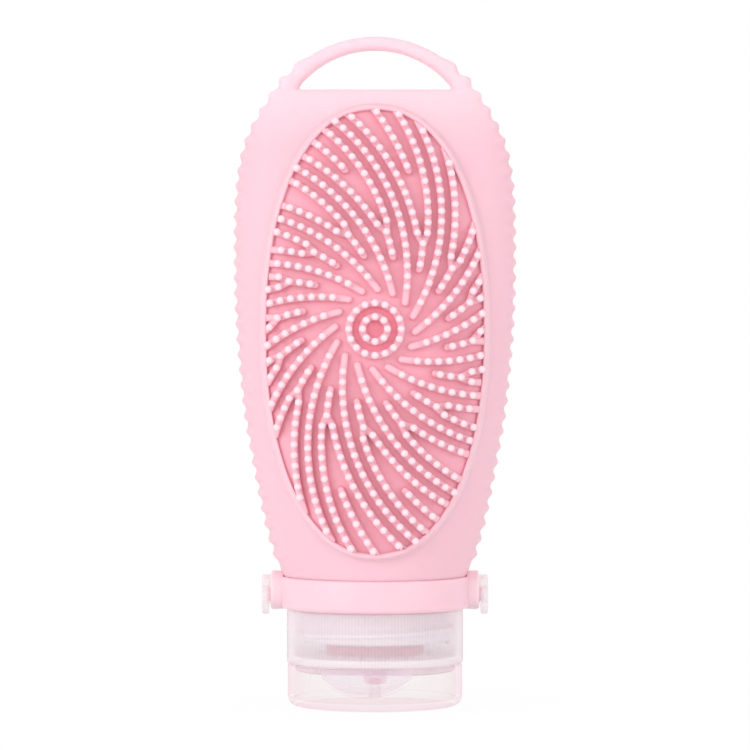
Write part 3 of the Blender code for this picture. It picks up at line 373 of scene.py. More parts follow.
def brush_silicone():
    """The same liquid silicone in the brush field.

    Its colour is painted by each point's level, as painted light and shade: the thin tips, which let
    light through, are painted nearly white, the fins pale pink, and the floor between them, lit only by
    light that has gone through pink rubber, is painted deep pink as painted shade.
    """
    material, tree, place = new_material("moulded_brush_silicone")
    rise = add_node(tree, "ShaderNodeAttribute", {"attribute_name": "rise"})
    painted_shading_ramp = add_node(tree, "ShaderNodeValToRGB", links={"Fac": rise.outputs["Fac"]})
    stops = painted_shading_ramp.color_ramp
    # Painted shade low down and painted light high up: the floor (0.20) and the hub's floor (0.31) deep pink,
    # the fins' tops (0.52) pale, the ball tips (0.88) nearly white.
    stops.elements[0].position, stops.elements[0].color = 0.20, pigment("#F6B6C5")
    stops.elements[1].position, stops.elements[1].color = 0.88, pigment("#FDE1E9")
    for position, hex_code in ((0.31, "#F99CAE"), (0.42, "#FBB6C5"), (0.52, "#FAC6D2"), (0.68, "#FBCFDA")):
        stops.elements.new(position).color = pigment(hex_code)
    bump = blasted_grain(tree, place)
    shader = add_node(tree, "ShaderNodeBsdfPrincipled",
                      inputs={"Roughness": 0.42, "IOR": SILICONE_IOR, "Subsurface Weight": 0.12,
                              "Subsurface Radius": (1.0, 0.36, 0.42), "Subsurface Scale": 0.6 * MM},
                      links={"Base Color": painted_shading_ramp.outputs["Color"], "Normal": bump.outputs["Normal"]})
    finish_material(tree, shader.outputs["BSDF"])
    return material


def collar_plastic(name, deep, pale, thin):
    """Injection-moulded pink polypropylene, dyed through, with a soft gloss from a polished mould.

    Its bosses stand free of the ring and light goes through them from all sides, so they are
    painted paler there: painted light.
    """
    material, tree, place = new_material(name)
    flow = add_node(tree, "ShaderNodeTexNoise", inputs={"Scale": 1 / (9 * MM), "Detail": 2.0},
                    links={"Vector": place})
    colour = add_node(tree, "ShaderNodeMix", {"data_type": "RGBA"},
                      {"A": pigment(deep), "B": pigment(pale)}, {"Factor": flow.outputs["Fac"]})
    # Painted light: beyond the ring's sides, where the bosses stand free, the colour is painted paler.
    spot = add_node(tree, "ShaderNodeSeparateXYZ", links={"Vector": place})
    aside = add_node(tree, "ShaderNodeMath", {"operation": "ABSOLUTE"}, links={0: spot.outputs["X"]})
    free = add_node(tree, "ShaderNodeMapRange",
                    inputs={"From Min": COLLAR_RADIUS - 0.8 * MM, "From Max": COLLAR_RADIUS},
                    links={"Value": aside.outputs[0]})
    colour = add_node(tree, "ShaderNodeMix", {"data_type": "RGBA"}, {"B": pigment(thin)},
                      {"Factor": free.outputs["Result"], "A": colour.outputs["Result"]})
    ripple = add_node(tree, "ShaderNodeBump", inputs={"Strength": 0.06, "Distance": 0.05 * MM},
                      links={"Height": flow.outputs["Fac"]})
    shader = add_node(tree, "ShaderNodeBsdfPrincipled",
                      inputs={"Roughness": 0.33, "IOR": POLYPROPYLENE_IOR, "Subsurface Weight": 0.2,
                              "Subsurface Radius": (1.0, 0.5, 0.55), "Subsurface Scale": 1.0 * MM},
                      links={"Base Color": colour.outputs["Result"], "Normal": ripple.outputs["Normal"]})
    finish_material(tree, shader.outputs["BSDF"])
    return material


def clear_plastic(name, tint, through, edge, milk, edge_milk, roughness, glow_share=0.3, ribs=0,
                  core=None, calm=None, ledge=None):
    """Undyed polypropylene out of a polished mould.

    Its crystals scatter some of the light, so each wall looks like thin milk where it is entered:
    most of what is behind it shows through, less of it where the wall is seen at a slant, and light
    that falls on the wall's far side makes it glow. Where the wall is seen at a slant, what shows
    through is also painted towards the edge colour, a painted pink that stands in for pink light from
    the collar and valve. Milk, edge_milk and glow_share are shares. Calm names a radius and a height
    whose faces skip the slant, so that a wall's inner face draws no second outline. Ledge is the thumb
    recess's extra milk and its tint. Core is the spout's tint, its tint seen through, and the share of
    milk that it keeps.
    """
    material, tree, place = new_material(name)
    flow = add_node(tree, "ShaderNodeTexNoise", inputs={"Scale": 1 / (5 * MM), "Detail": 3.0},
                    links={"Vector": place})
    ripple = add_node(tree, "ShaderNodeBump", inputs={"Strength": 0.08, "Distance": 0.05 * MM},
                      links={"Height": flow.outputs["Fac"]})
    slant = add_node(tree, "ShaderNodeLayerWeight", inputs={"Blend": 0.35}).outputs["Facing"]
    spot = add_node(tree, "ShaderNodeSeparateXYZ", links={"Vector": place})
    flat = add_node(tree, "ShaderNodeCombineXYZ", links={"X": spot.outputs["X"], "Y": spot.outputs["Y"]})
    reach = add_node(tree, "ShaderNodeVectorMath", {"operation": "LENGTH"}, links={0: flat.outputs["Vector"]})
    if calm:
        for source, level in zip((reach.outputs["Value"], spot.outputs["Z"]), calm):
            off = add_node(tree, "ShaderNodeMath", {"operation": "SUBTRACT"}, {1: level}, {0: source})
            off = add_node(tree, "ShaderNodeMath", {"operation": "ABSOLUTE"}, links={0: off.outputs[0]})
            off = add_node(tree, "ShaderNodeMapRange", inputs={"From Min": 0.08 * MM, "From Max": 0.2 * MM},
                           links={"Value": off.outputs[0]})
            slant = add_node(tree, "ShaderNodeMath", {"operation": "MULTIPLY"},
                             links={0: slant, 1: off.outputs["Result"]}).outputs[0]
    wall = add_node(tree, "ShaderNodeMapRange", inputs={"To Min": milk, "To Max": edge_milk},
                    links={"Value": slant})
    haze = add_node(tree, "ShaderNodeMapRange", inputs={"To Min": -0.03, "To Max": 0.03},
                    links={"Value": flow.outputs["Fac"]})
    cloud = add_node(tree, "ShaderNodeMath", {"operation": "ADD", "use_clamp": True},
                     links={0: wall.outputs["Result"], 1: haze.outputs["Result"]})
    # Painted light: each rib's crest is painted milkier, so pale lines stand in for the light and shade of the
    # fine ribs.
    if ribs:
        turn = add_node(tree, "ShaderNodeMath", {"operation": "ARCTAN2"},
                        links={0: spot.outputs["Y"], 1: spot.outputs["X"]})
        wave = add_node(tree, "ShaderNodeMath", {"operation": "MULTIPLY"}, {1: float(ribs)},
                        {0: turn.outputs[0]})
        crest = add_node(tree, "ShaderNodeMath", {"operation": "COSINE"}, links={0: wave.outputs[0]})
        extra = add_node(tree, "ShaderNodeMath", {"operation": "MULTIPLY"}, {1: RIB_PAINTED_SHEEN},
                         {0: crest.outputs[0]})
        cloud = add_node(tree, "ShaderNodeMath", {"operation": "ADD", "use_clamp": True},
                         links={0: cloud.outputs[0], 1: extra.outputs[0]})
    if ledge:
        tests = ((reach.outputs["Value"], "LESS_THAN", LID_RADIUS - 0.06 * MM),
                 (spot.outputs["Y"], "LESS_THAN", -THUMB_FRONT), (spot.outputs["Z"], "GREATER_THAN", THUMB_LOW))
        inside = None
        for source, operation, limit in tests:
            test = add_node(tree, "ShaderNodeMath", {"operation": operation}, {1: limit}, {0: source})
            test = test.outputs[0]
            inside = test if inside is None else add_node(
                tree, "ShaderNodeMath", {"operation": "MULTIPLY"}, links={0: inside, 1: test}).outputs[0]
        thicker = add_node(tree, "ShaderNodeMath", {"operation": "MULTIPLY"}, {1: ledge[0]}, {0: inside})
        cloud = add_node(tree, "ShaderNodeMath", {"operation": "ADD", "use_clamp": True},
                         links={0: cloud.outputs[0], 1: thicker.outputs[0]})
    if core:
        thick = add_node(tree, "ShaderNodeMapRange",
                         inputs={"From Min": SPOUT_AURA + 0.2 * MM, "From Max": SPOUT_AURA},
                         links={"Value": reach.outputs["Value"]})
        low = add_node(tree, "ShaderNodeMapRange",
                       inputs={"From Min": SKIRT_BASE, "From Max": SKIRT_BASE - 0.3 * MM},
                       links={"Value": spot.outputs["Z"]})
        thick = add_node(tree, "ShaderNodeMath", {"operation": "MULTIPLY"},
                         links={0: thick.outputs["Result"], 1: low.outputs["Result"]})
        clearer = add_node(tree, "ShaderNodeMapRange", inputs={"To Min": 1.0, "To Max": core[2]},
                           links={"Value": thick.outputs[0]})
        cloud = add_node(tree, "ShaderNodeMath", {"operation": "MULTIPLY"},
                         links={0: cloud.outputs[0], 1: clearer.outputs["Result"]})
    leaving = add_node(tree, "ShaderNodeNewGeometry").outputs["Backfacing"]
    entered = add_node(tree, "ShaderNodeMapRange", inputs={"To Min": 1.0, "To Max": FAR_FACE_MILK},
                       links={"Value": leaving})
    cloud = add_node(tree, "ShaderNodeMath", {"operation": "MULTIPLY"},
                     links={0: cloud.outputs[0], 1: entered.outputs["Result"]})
    front = add_node(tree, "ShaderNodeBsdfPrincipled",
                     inputs={"Base Color": pigment(tint), "Roughness": roughness, "IOR": POLYPROPYLENE_IOR},
                     links={"Normal": ripple.outputs["Normal"]})
    glow = add_node(tree, "ShaderNodeBsdfTranslucent", inputs={"Color": pigment(tint)})
    if ledge or core:
        where, other = (inside, ledge[1]) if ledge else (thick.outputs[0], core[0])
        dye = add_node(tree, "ShaderNodeMix", {"data_type": "RGBA"}, {"A": pigment(tint), "B": pigment(other)},
                       {"Factor": where})
        tree.links.new(dye.outputs["Result"], front.inputs["Base Color"])
        tree.links.new(dye.outputs["Result"], glow.inputs["Color"])
    milky = add_node(tree, "ShaderNodeMixShader", inputs={0: glow_share},
                     links={1: front.outputs["BSDF"], 2: glow.outputs["BSDF"]})
    steep = add_node(tree, "ShaderNodeMath", {"operation": "POWER"}, {1: 1.3}, {0: slant})
    # Painted light: the see-through colour turns to the pink edge tint at a slant, for pink light from the
    # collar and valve.
    veil = add_node(tree, "ShaderNodeMix", {"data_type": "RGBA"}, {"A": pigment(through), "B": pigment(edge)},
                    {"Factor": steep.outputs[0]})
    if core:
        veil = add_node(tree, "ShaderNodeMix", {"data_type": "RGBA"}, {"B": pigment(core[1])},
                        {"Factor": thick.outputs[0], "A": veil.outputs["Result"]})
    clear = add_node(tree, "ShaderNodeBsdfTransparent", links={"Color": veil.outputs["Result"]})
    mixed = add_node(tree, "ShaderNodeMixShader",
                     links={0: cloud.outputs[0], 1: clear.outputs["BSDF"], 2: milky.outputs["Shader"]})
    finish_material(tree, mixed.outputs["Shader"])
    return material


# The third colour of each soft silicone is painted light, the paler glow painted on the body's top and loop.
BODY_SILICONE = soft_silicone("moulded_body_silicone", "#FAC9D5", "#F9C6D3", "#FCD7E1", 0.45)
VALVE_SILICONE = soft_silicone("moulded_valve_silicone", "#F8B2C3", "#F6AEC0", "#F8B2C3", 0.4)
# The third colour of each clear plastic is painted light, the pink tint painted where a wall is seen at a
# slant.
GASKET_PLASTIC = clear_plastic("moulded_natural_silicone", "#FFFCFD", "#FFFDFE", "#FFFAFC",
                               0.10, 0.25, 0.3, 0.5)
BRUSH_SILICONE = brush_silicone()
# The third colour of each polypropylene is painted light, the paler tint painted on the free bosses.
COLLAR_PLASTIC = collar_plastic("moulded_pink_polypropylene", "#FDCDD9", "#FED3DE", "#FDDCE4")
RING_PLASTIC = collar_plastic("moulded_rose_polypropylene", "#FFA9BD", "#FFB2C4", "#FFB2C4")
CAP_PLASTIC = clear_plastic("moulded_milky_polypropylene", "#FFFEFF", "#FFFEFE", "#FCEAF0",
                            0.06, 0.28, 0.2, 0.45,
                            calm=(LID_RADIUS - LID_WALL, LID_END_THICKNESS), ledge=(0.35, "#F9EAF4"))
RIBBED_PLASTIC = clear_plastic("moulded_ribbed_polypropylene", "#FFFEFE", "#FFFCFE", "#FBE9F0",
                               0.45, 0.7, 0.2, 0.35,
                               ribs=RIB_COUNT, core=("#FFEFF4", "#FFF3F7", 0.3), calm=(SKIRT_BORE,))
NECK_PLASTIC = clear_plastic("moulded_natural_polypropylene", "#FFFCFE", "#FFFDFE", "#FFFAFC",
                             0.95, 0.98, 0.30, 0.05)
BAIL_PLASTIC = clear_plastic("moulded_clear_polypropylene", "#FFFCFD", "#FFFDFE", "#FDF2F6",
                             0.5, 0.85, 0.18, 0.4)


# The body's form: half width, half depth and roundness by height
BODY_STATION_SHARES = (
    (0.000, 0.675, 0.985, 2.0), (0.045, 0.726, 1.000, 2.0), (0.114, 0.790, 0.995, 2.1),
    (0.229, 0.868, 0.960, 2.3), (0.323, 0.925, 0.910, 2.4), (0.423, 0.963, 0.850, 2.5),
    (0.530, 0.990, 0.770, 2.6), (0.644, 1.000, 0.670, 2.6), (0.743, 0.998, 0.565, 2.6),
    (0.835, 0.975, 0.445, 2.6), (0.902, 0.919, 0.335, 2.7), (0.964, 0.812, 0.210, 3.0),
    (1.000, 0.733, 0.135, 3.3))
LEG_STATION_SHARES = ((0.393, 0.668), (0.832, 0.556))
ARCH_START = 0.470 * BODY_HALF_WIDTH
LOOP_INNER_TURN_SHARE = 0.88


def smooth_curve(stations):
    """A smooth function through (place, value) stations, made of cubic pieces."""
    places = [station[0] for station in stations]
    values = [station[1] for station in stations]
    rises = [(values[i + 1] - values[i]) / (places[i + 1] - places[i]) for i in range(len(places) - 1)]
    slopes = [rises[0]] + [(a + b) / 2 for a, b in zip(rises, rises[1:])] + [rises[-1]]

    def curve(place):
        place = min(max(place, places[0]), places[-1])
        i = max(k for k in range(len(rises)) if places[k] <= place)
        run = places[i + 1] - places[i]
        t = (place - places[i]) / run
        return ((1 + 2 * t) * (1 - t) ** 2 * values[i] + t * (1 - t) ** 2 * run * slopes[i]
                + t * t * (3 - 2 * t) * values[i + 1] + t * t * (t - 1) * run * slopes[i + 1])

    return curve


def body_curves():
    widths, depths, exponents = [], [], []
    for height_share, width_share, depth_share, exponent in BODY_STATION_SHARES:
        height = BODY_BASE + height_share * BODY_HEIGHT
        widths.append((height, width_share * BODY_HALF_WIDTH))
        depths.append((height, depth_share * BODY_HALF_DEPTH))
        exponents.append((height, exponent))
    leg_rise = LOOP_TOP - LOOP_OUTER_RADIUS + math.sqrt(LOOP_OUTER_RADIUS ** 2 - ARCH_START ** 2) - BODY_TOP
    for rise_share, width_share in LEG_STATION_SHARES:
        widths.append((BODY_TOP + rise_share * leg_rise, width_share * BODY_HALF_WIDTH))
    widths.append((BODY_TOP + leg_rise, ARCH_START))
    return smooth_curve(widths), smooth_curve(depths), smooth_curve(exponents)


OUTLINE_WIDTH, SIDE_DEPTH, ROUNDNESS = body_curves()


def hollow_share(height):
    """0 at a tooth's tip and 1 at the bottom of the round hollow between two teeth."""
    if height < FIRST_TOOTH - TOOTH_PITCH / 2:
        return 1.0
    if height > LAST_TOOTH:
        return 0.0
    phase = ((height - FIRST_TOOTH) / TOOTH_PITCH) % 1.0
    return (1 - math.cos(2 * math.pi * phase)) / 2


def outline_slope(height):
    step = 0.2 * MM
    return (OUTLINE_WIDTH(height + step) - OUTLINE_WIDTH(height - step)) / (2 * step)


def front_depth(across, height):
    """How far the body's smooth front stands out at a place across and up."""
    width = OUTLINE_WIDTH(height) - TOOTH_DEPTH
    roundness = ROUNDNESS(height)
    share = min(abs(across) / width, 1.0)
    return SIDE_DEPTH(height) * (1 - share ** roundness) ** (1 / roundness)


# Bottle body with its scalloped sides and hanging loop
BODY_COLUMNS = 144


def body_ring(height, inset=0.0, teeth=True, columns=BODY_COLUMNS):
    width = OUTLINE_WIDTH(height) - TOOTH_DEPTH - inset
    depth = SIDE_DEPTH(height) - inset
    power = 2 / ROUNDNESS(height)
    hollow = TOOTH_DEPTH * TOOTH_GAIN * hollow_share(height)
    tooth = TOOTH_DEPTH * (1 + TOOTH_GAIN) / 2 - hollow if teeth else 0.0
    sink = hollow * outline_slope(height) if teeth else 0.0
    ring = []
    for i in range(columns):
        turn = 2 * math.pi * i / columns
        cosine, sine = math.cos(turn), math.sin(turn)
        from_side = math.degrees(math.asin(min(1.0, abs(sine))))
        fade = min(max((TOOTH_END - from_side) / TOOTH_FADE, 0.0), 1.0)
        fade *= fade * (3 - 2 * fade)
        across = width * math.copysign(abs(cosine) ** power, cosine)
        across += math.copysign(tooth * fade, cosine)
        ring.append((across, depth * math.copysign(abs(sine) ** power, sine), height + sink * fade))
    return ring


def round_ring(radius, height, columns=BODY_COLUMNS):
    return [(radius * math.cos(2 * math.pi * i / columns), radius * math.sin(2 * math.pi * i / columns), height)
            for i in range(columns)]


def body_solid():
    foot = COLLAR_TOP - FOOT_PRESS
    rings = [round_ring(NECK_RADIUS, NECK_END), round_ring(NECK_RADIUS, foot)]
    for turn in (BASE_TURN, 32, 22, 11, 0):
        inset = BASE_CORNER * (1 - math.cos(math.radians(turn)))
        lift = BASE_CORNER * (math.sin(math.radians(BASE_TURN)) - math.sin(math.radians(turn)))
        rings.append(body_ring(foot + lift, inset))
    height = foot + BASE_CORNER + 0.3 * MM
    while height < BODY_TOP - TOP_EDGE - 0.1 * MM:
        rings.append(body_ring(height))
        height += TOOTH_PITCH / 10
    for turn in (0, 22, 45, 67, 90):
        inset = TOP_EDGE * (1 - math.cos(math.radians(turn)))
        drop = TOP_EDGE * (1 - math.sin(math.radians(turn)))
        rings.append(body_ring(BODY_TOP - drop, inset))
    return wrapped("bottle_shell", capped(rings))


def loop_solid():
    """The hanging loop: a bar of oval section along the arch, its legs toothed outside."""
    inner_centre = LOOP_TOP - LOOP_THICKNESS - LOOP_INNER_RADIUS
    outer_centre = LOOP_TOP - LOOP_OUTER_RADIUS
    arch_turn = math.asin(ARCH_START / LOOP_OUTER_RADIUS)
    leg_top = outer_centre + LOOP_OUTER_RADIUS * math.cos(arch_turn)
    outer = []
    height = BODY_TOP - 3.4 * MM
    while height < leg_top - 0.1 * MM:
        hollow = TOOTH_DEPTH * TOOTH_GAIN * hollow_share(height)
        outer.append((OUTLINE_WIDTH(height) + TOOTH_DEPTH * (TOOTH_GAIN - 1) / 2 - hollow,
                      height + hollow * outline_slope(height)))
        height += TOOTH_PITCH / 10
    for i in range(61):
        turn = arch_turn * (1 - i / 60)
        outer.append((LOOP_OUTER_RADIUS * math.sin(turn), outer_centre + LOOP_OUTER_RADIUS * math.cos(turn)))
    half = []
    for across, height in outer:
        turn = LOOP_INNER_TURN_SHARE * math.atan2(across, height - inner_centre)
        near = (LOOP_INNER_RADIUS * math.sin(turn), inner_centre + LOOP_INNER_RADIUS * math.cos(turn))
        above = near[1] - BODY_TOP
        if above < LOOP_FILLET:
            rest = min(LOOP_FILLET - above, LOOP_FILLET)
            flare = LOOP_FILLET - math.sqrt(LOOP_FILLET ** 2 - rest ** 2)
            near = (near[0] - flare, near[1])
        ring = []
        for i in range(32):
            turn = 2 * math.pi * i / 32
            cosine, sine = math.cos(turn), math.sin(turn)
            share = 0.5 + 0.5 * math.copysign(abs(cosine) ** 0.86, cosine)
            ring.append((near[0] + share * (across - near[0]),
                         LOOP_DEPTH / 2 * math.copysign(abs(sine) ** 0.86, sine),
                         near[1] + share * (height - near[1])))
        half.append(ring)
    mirrored = [[(-x, y, z) for x, y, z in ring] for ring in reversed(half[:-1])]
    return wrapped("loop", capped(half + mirrored))


def cavity_solid():
    base = BODY_BASE + 2.4 * MM
    rings = [round_ring(NECK_BORE, NECK_END - MM, 48), round_ring(NECK_BORE, base, 48)]
    rise = BODY_TOP - 8.0 * MM - base
    for i in range(25):
        height = base + BASE_CORNER + (rise - BASE_CORNER) * i / 24
        rings.append(body_ring(height, BODY_WALL, teeth=False, columns=48))
    return wrapped("cavity", capped(rings))


def make_body():
    body = joined([body_solid(), loop_solid()])
    apply_modifier(body, "REMESH", mode="VOXEL", voxel_size=SKIN_VOXEL, adaptivity=0.0)
    apply_modifier(body, "SMOOTH", factor=0.5, iterations=2)
    apply_modifier(body, "DECIMATE", ratio=SKIN_SHARE)
    carve(body, cavity_solid())
    soften(body, 60)
    dress(body, BODY_SILICONE, "bottle", "body_silicone", "bottle_body")
    return body


# Brush field
def pad_edge(turn, inset=0.0):
    power = 2 / PAD_EXPONENT
    cosine, sine = math.cos(turn), math.sin(turn)
    return ((PAD_HALF_WIDTH - inset) * math.copysign(abs(cosine) ** power, cosine),
            PAD_CENTRE + (PAD_HALF_HEIGHT - inset) * math.copysign(abs(sine) ** power, sine))


def inside_pad(across, height, inset):
    across_share = abs(across) / (PAD_HALF_WIDTH - inset)
    height_share = abs(height - PAD_CENTRE) / (PAD_HALF_HEIGHT - inset)
    return across_share ** PAD_EXPONENT + height_share ** PAD_EXPONENT < 1


def mark_rise(piece, least=0.0):
    """Keep each point's level above the body's front, as a share of the bristles' height."""
    marks = piece.data.attributes.new("rise", "FLOAT", "POINT")
    marks.data.foreach_set("value", [max(-vertex.co.y / TIP_LEVEL, least) for vertex in piece.data.vertices])
    return piece


def drape(piece):
    """Lay a flat piece of the brush field on the body's front."""
    for vertex in piece.data.vertices:
        vertex.co.y -= front_depth(vertex.co.x, vertex.co.z)


def make_floor():
    """The floor inside the rim: an oval disc in rings that close on its middle."""
    rings = []
    for i in range(25):
        inset = (PAD_HALF_WIDTH - 0.05 * MM) * i / 24
        shrink = 1 - inset / PAD_HALF_WIDTH
        ring = [pad_edge(2 * math.pi * k / 192) for k in range(192)]
        rings.append([(x * shrink, -FLOOR_LEVEL, PAD_CENTRE + (z - PAD_CENTRE) * shrink) for x, z in ring])
    underside = [(x, FIELD_ROOT, z) for x, _, z in rings[0]]
    return wrapped("brush_floor", capped([underside] + rings))


FACING_FORWARD = Matrix.Translation((0, 0, PAD_CENTRE)) @ Matrix.Rotation(math.pi / 2, 4, "X")


def make_hub():
    """The raised round floor in the field's middle."""
    outline = [(0.0, -FIELD_ROOT), (HUB_RADIUS, -FIELD_ROOT)]
    outline += [(HUB_RADIUS * share / 3, HUB_LEVEL) for share in (3, 2, 1, 0)]
    return turned("brush_hub", outline, 64, FACING_FORWARD)


def make_rim():
    """The raised rim: a rounded bar all round the oval."""
    crown = RIM_WIDTH / 2
    section = [(-RIM_FOOT, -FIELD_ROOT), (-RIM_FOOT, 0.0)]
    for i in range(1, 8):
        rise = i / 8
        section.append((RIM_FOOT * (rise - 1), RIM_LEVEL * 0.5 * rise * rise))
    for i in range(1, 8):
        turn = math.radians(15 + 165 * i / 8)
        section.append((crown - crown * math.cos(turn), RIM_LEVEL - crown + crown * math.sin(turn)))
    section += [(RIM_WIDTH, RIM_LEVEL - crown), (RIM_WIDTH, -FIELD_ROOT)]
    rings = []
    for inset, level in section + section[:1]:
        rings.append([(x, -level, z) for x, z in (pad_edge(2 * math.pi * k / 192, inset) for k in range(192))])
    return wrapped("brush_rim", rings)


def swirl_arc(start_radius, turn, heading, curve_radius):
    """A function that walks along a fin from its first bristle: it gives a place and its heading."""
    start = Vector((start_radius * math.cos(turn), start_radius * math.sin(turn)))
    ahead = Vector((math.cos(heading), math.sin(heading))) * curve_radius
    side = Vector((-math.sin(heading), math.cos(heading))) * curve_radius

    def place(distance):
        bend = distance / curve_radius
        spot = start + ahead * math.sin(bend) + side * (1 - math.cos(bend))
        return Vector((spot.x, PAD_CENTRE + spot.y))

    return place


def trace_fin(arm, start_radius, angles, curve_radius, bare_tip=0.0, limit=None):
    """A fin's path in half-millimetre steps and the places of its bristles."""
    turn = arm + math.radians(angles[0])
    place = swirl_arc(start_radius, turn, turn + math.radians(angles[1]), curve_radius)
    bristles, at_rim = [], False
    while limit is None or len(bristles) < limit:
        spot = place(len(bristles) * BRISTLE_PITCH)
        at_rim = not inside_pad(spot.x, spot.y, RIM_WIDTH + 0.1 * MM)
        if at_rim:
            break
        bristles.append(spot)
    path, run = [], -bare_tip
    while True:
        spot = place(run)
        if at_rim and not inside_pad(spot.x, spot.y, RIM_WIDTH / 2):
            break
        if not at_rim and run > (len(bristles) - 1) * BRISTLE_PITCH:
            break
        path.append(spot)
        run += 0.5 * MM
    return path, bristles, at_rim


# The swirl's arms, and for each kind of fin in one arm: its first bristle's distance from the
# middle, that bristle's turn from the arm and the fin's lean from straight out in degrees, and
# the radius of the fin's curve.
ARM_COUNT = 16
FIRST_ARM = 19.0
MAIN_FIN = (10.76 * MM, (11.5, 32.7), 40.4 * MM)
STEM_FIN = (16.1 * MM, (13.6, 24.5), 40.4 * MM)
OUTER_FIN = (22.34 * MM, (19.9, 23.6), 40.4 * MM)
INNER_FIN = (21.47 * MM, (24.86, 34.4), 43.8 * MM)
TWIG_FIN = (34.15 * MM, (37.5, 32.7), 53.0 * MM)
MAIN_BARE_TIP = 3.2 * MM
SHORT_BARE_TIP = 1.0 * MM
STEM_BRISTLES = 3


def swirl_fins():
    """Every fin of the swirl, as its path and its bristles."""
    fins = []
    for i in range(ARM_COUNT):
        arm = math.radians(FIRST_ARM + 360 / ARM_COUNT * i)
        main, main_bristles, _ = trace_fin(arm, *MAIN_FIN, MAIN_BARE_TIP)
        stem, stem_bristles, short = trace_fin(arm, *STEM_FIN, SHORT_BARE_TIP, STEM_BRISTLES)
        outer, outer_bristles, _ = trace_fin(arm, *OUTER_FIN)
        inner, inner_bristles, _ = trace_fin(arm, *INNER_FIN)
        twig, twig_bristles, _ = trace_fin(arm, *TWIG_FIN, SHORT_BARE_TIP)
        if inner_bristles and not short:
            inner.insert(0, stem_bristles[-1])
        if not short:
            stem, stem_bristles = stem + outer, stem_bristles + outer_bristles
        fins += [fin for fin in ((main, main_bristles), (stem, stem_bristles), (inner, inner_bristles),
                                 (twig, twig_bristles)) if fin[1]]
    return fins


FIN_SECTION = (-1.0, -0.97, -0.85, -0.6, -0.3, 0.0, 0.3, 0.6, 0.85, 0.97, 1.0)


def dome_level(share):
    """Level of a fin's rounded top at a share of its half width from its middle line."""
    crown = FIN_LEVEL - FIN_WALL_LEVEL
    return FIN_WALL_LEVEL + crown * (1 - min(abs(share), 1.0) ** 2.2) ** (1 / 2.2)


def fin_level(spot, level):
    """A fin's level at a place: its end sinks inside the rim, so that none of it comes out beyond."""
    return level if inside_pad(spot.x, spot.y, RIM_WIDTH * 3 / 4) else FIN_SINK


def make_fin(path):
    """A low wall with a rounded top along its path, its free end rounded in plan too."""
    half = FIN_WIDTH / 2
    first = (path[0] - path[1]).normalized()
    nose = [path[0] + first * half * math.sin(math.radians(turn)) for turn in (89, 75, 58, 38, 18)]
    points = nose + path
    rings = []
    for i, point in enumerate(points):
        ahead = (points[min(i + 1, len(points) - 1)] - points[max(i - 1, 0)]).normalized()
        side = Vector((-ahead.y, ahead.x))
        past_end = (point - path[0]).length / half if i < len(nose) else 0.0
        reach = half * math.sqrt(1 - min(past_end, 1.0) ** 2)
        ring = [(point.x - side.x * reach, FIELD_ROOT, point.y - side.y * reach)]
        for share in FIN_SECTION:
            spot = point + side * reach * share
            level = fin_level(spot, dome_level(math.hypot(share * reach / half, past_end)))
            ring.append((spot.x, -level, spot.y))
        ring.append((point.x + side.x * reach, FIELD_ROOT, point.y + side.y * reach))
        rings.append(ring)
    return wrapped("fin", capped(rings))


def make_ring_fin(radius):
    """One of the two round fins about the field's middle."""
    half = FIN_WIDTH / 2
    top = [(radius + half * share, dome_level(share)) for share in reversed(FIN_SECTION)]
    outline = [(radius + half, -FIELD_ROOT)] + top + [(radius - half, -FIELD_ROOT)]
    return turned("ring_fin", outline, 64, FACING_FORWARD, ring=True)


def make_bristle():
    """One bristle: a tapered stem that carries a ball tip, pointing forwards from the origin."""
    ball_centre = TIP_LEVEL - BALL_RADIUS
    foot = FIN_LEVEL - 0.5 * MM
    outline = [(0.0, foot), (STEM_RADIUS * 1.15, foot), (STEM_RADIUS, ball_centre - 0.55 * MM)]
    outline += arc((0.0, ball_centre), BALL_RADIUS, -38, 90, 4)
    outline[-1] = (0.0, TIP_LEVEL)
    return turned("bristle", outline, 10, Matrix.Rotation(math.pi / 2, 4, "X"))


def make_brush():
    fins = swirl_fins()
    flat = [make_floor(), make_hub(), make_ring_fin(HUB_RADIUS), make_ring_fin(EYE_RADIUS)]
    flat += [make_fin(path) for path, _ in fins]
    # The rim is held at the pale end of the painted shade, so that its low foot is not painted dark like the
    # floor.
    brush = joined([mark_rise(joined(flat)), mark_rise(make_rim(), 0.62)])
    drape(brush)
    places = [spot for _, bristles in fins for spot in bristles]
    for radius, count in ((HUB_RADIUS, 16), (EYE_RADIUS, 8)):
        places += [Vector((radius * math.cos(2 * math.pi * i / count),
                           PAD_CENTRE + radius * math.sin(2 * math.pi * i / count))) for i in range(count)]
    model = make_bristle()
    mark_rise(model)
    bristles = []
    for spot in places:
        copy = model.copy()
        copy.data = model.data.copy()
        copy.data.transform(Matrix.Translation((spot.x, -front_depth(spot.x, spot.y), spot.y)))
        bpy.context.scene.collection.objects.link(copy)
        bristles.append(copy)
    bpy.data.objects.remove(model, do_unlink=True)
    brush = joined([brush] + bristles)
    brush.name = brush.data.name = "brush_field"
    soften(brush, 45)
    dress(brush, BRUSH_SILICONE, "bottle", "brush_silicone", "brush_pad")


# Collar, bail and neck insert
def side_place(side, height):
    """Lay a turned shape's axis along +X or -X at a height."""
    return Matrix.Translation((0, 0, height)) @ Matrix.Rotation(side * math.pi / 2, 4, "Y")


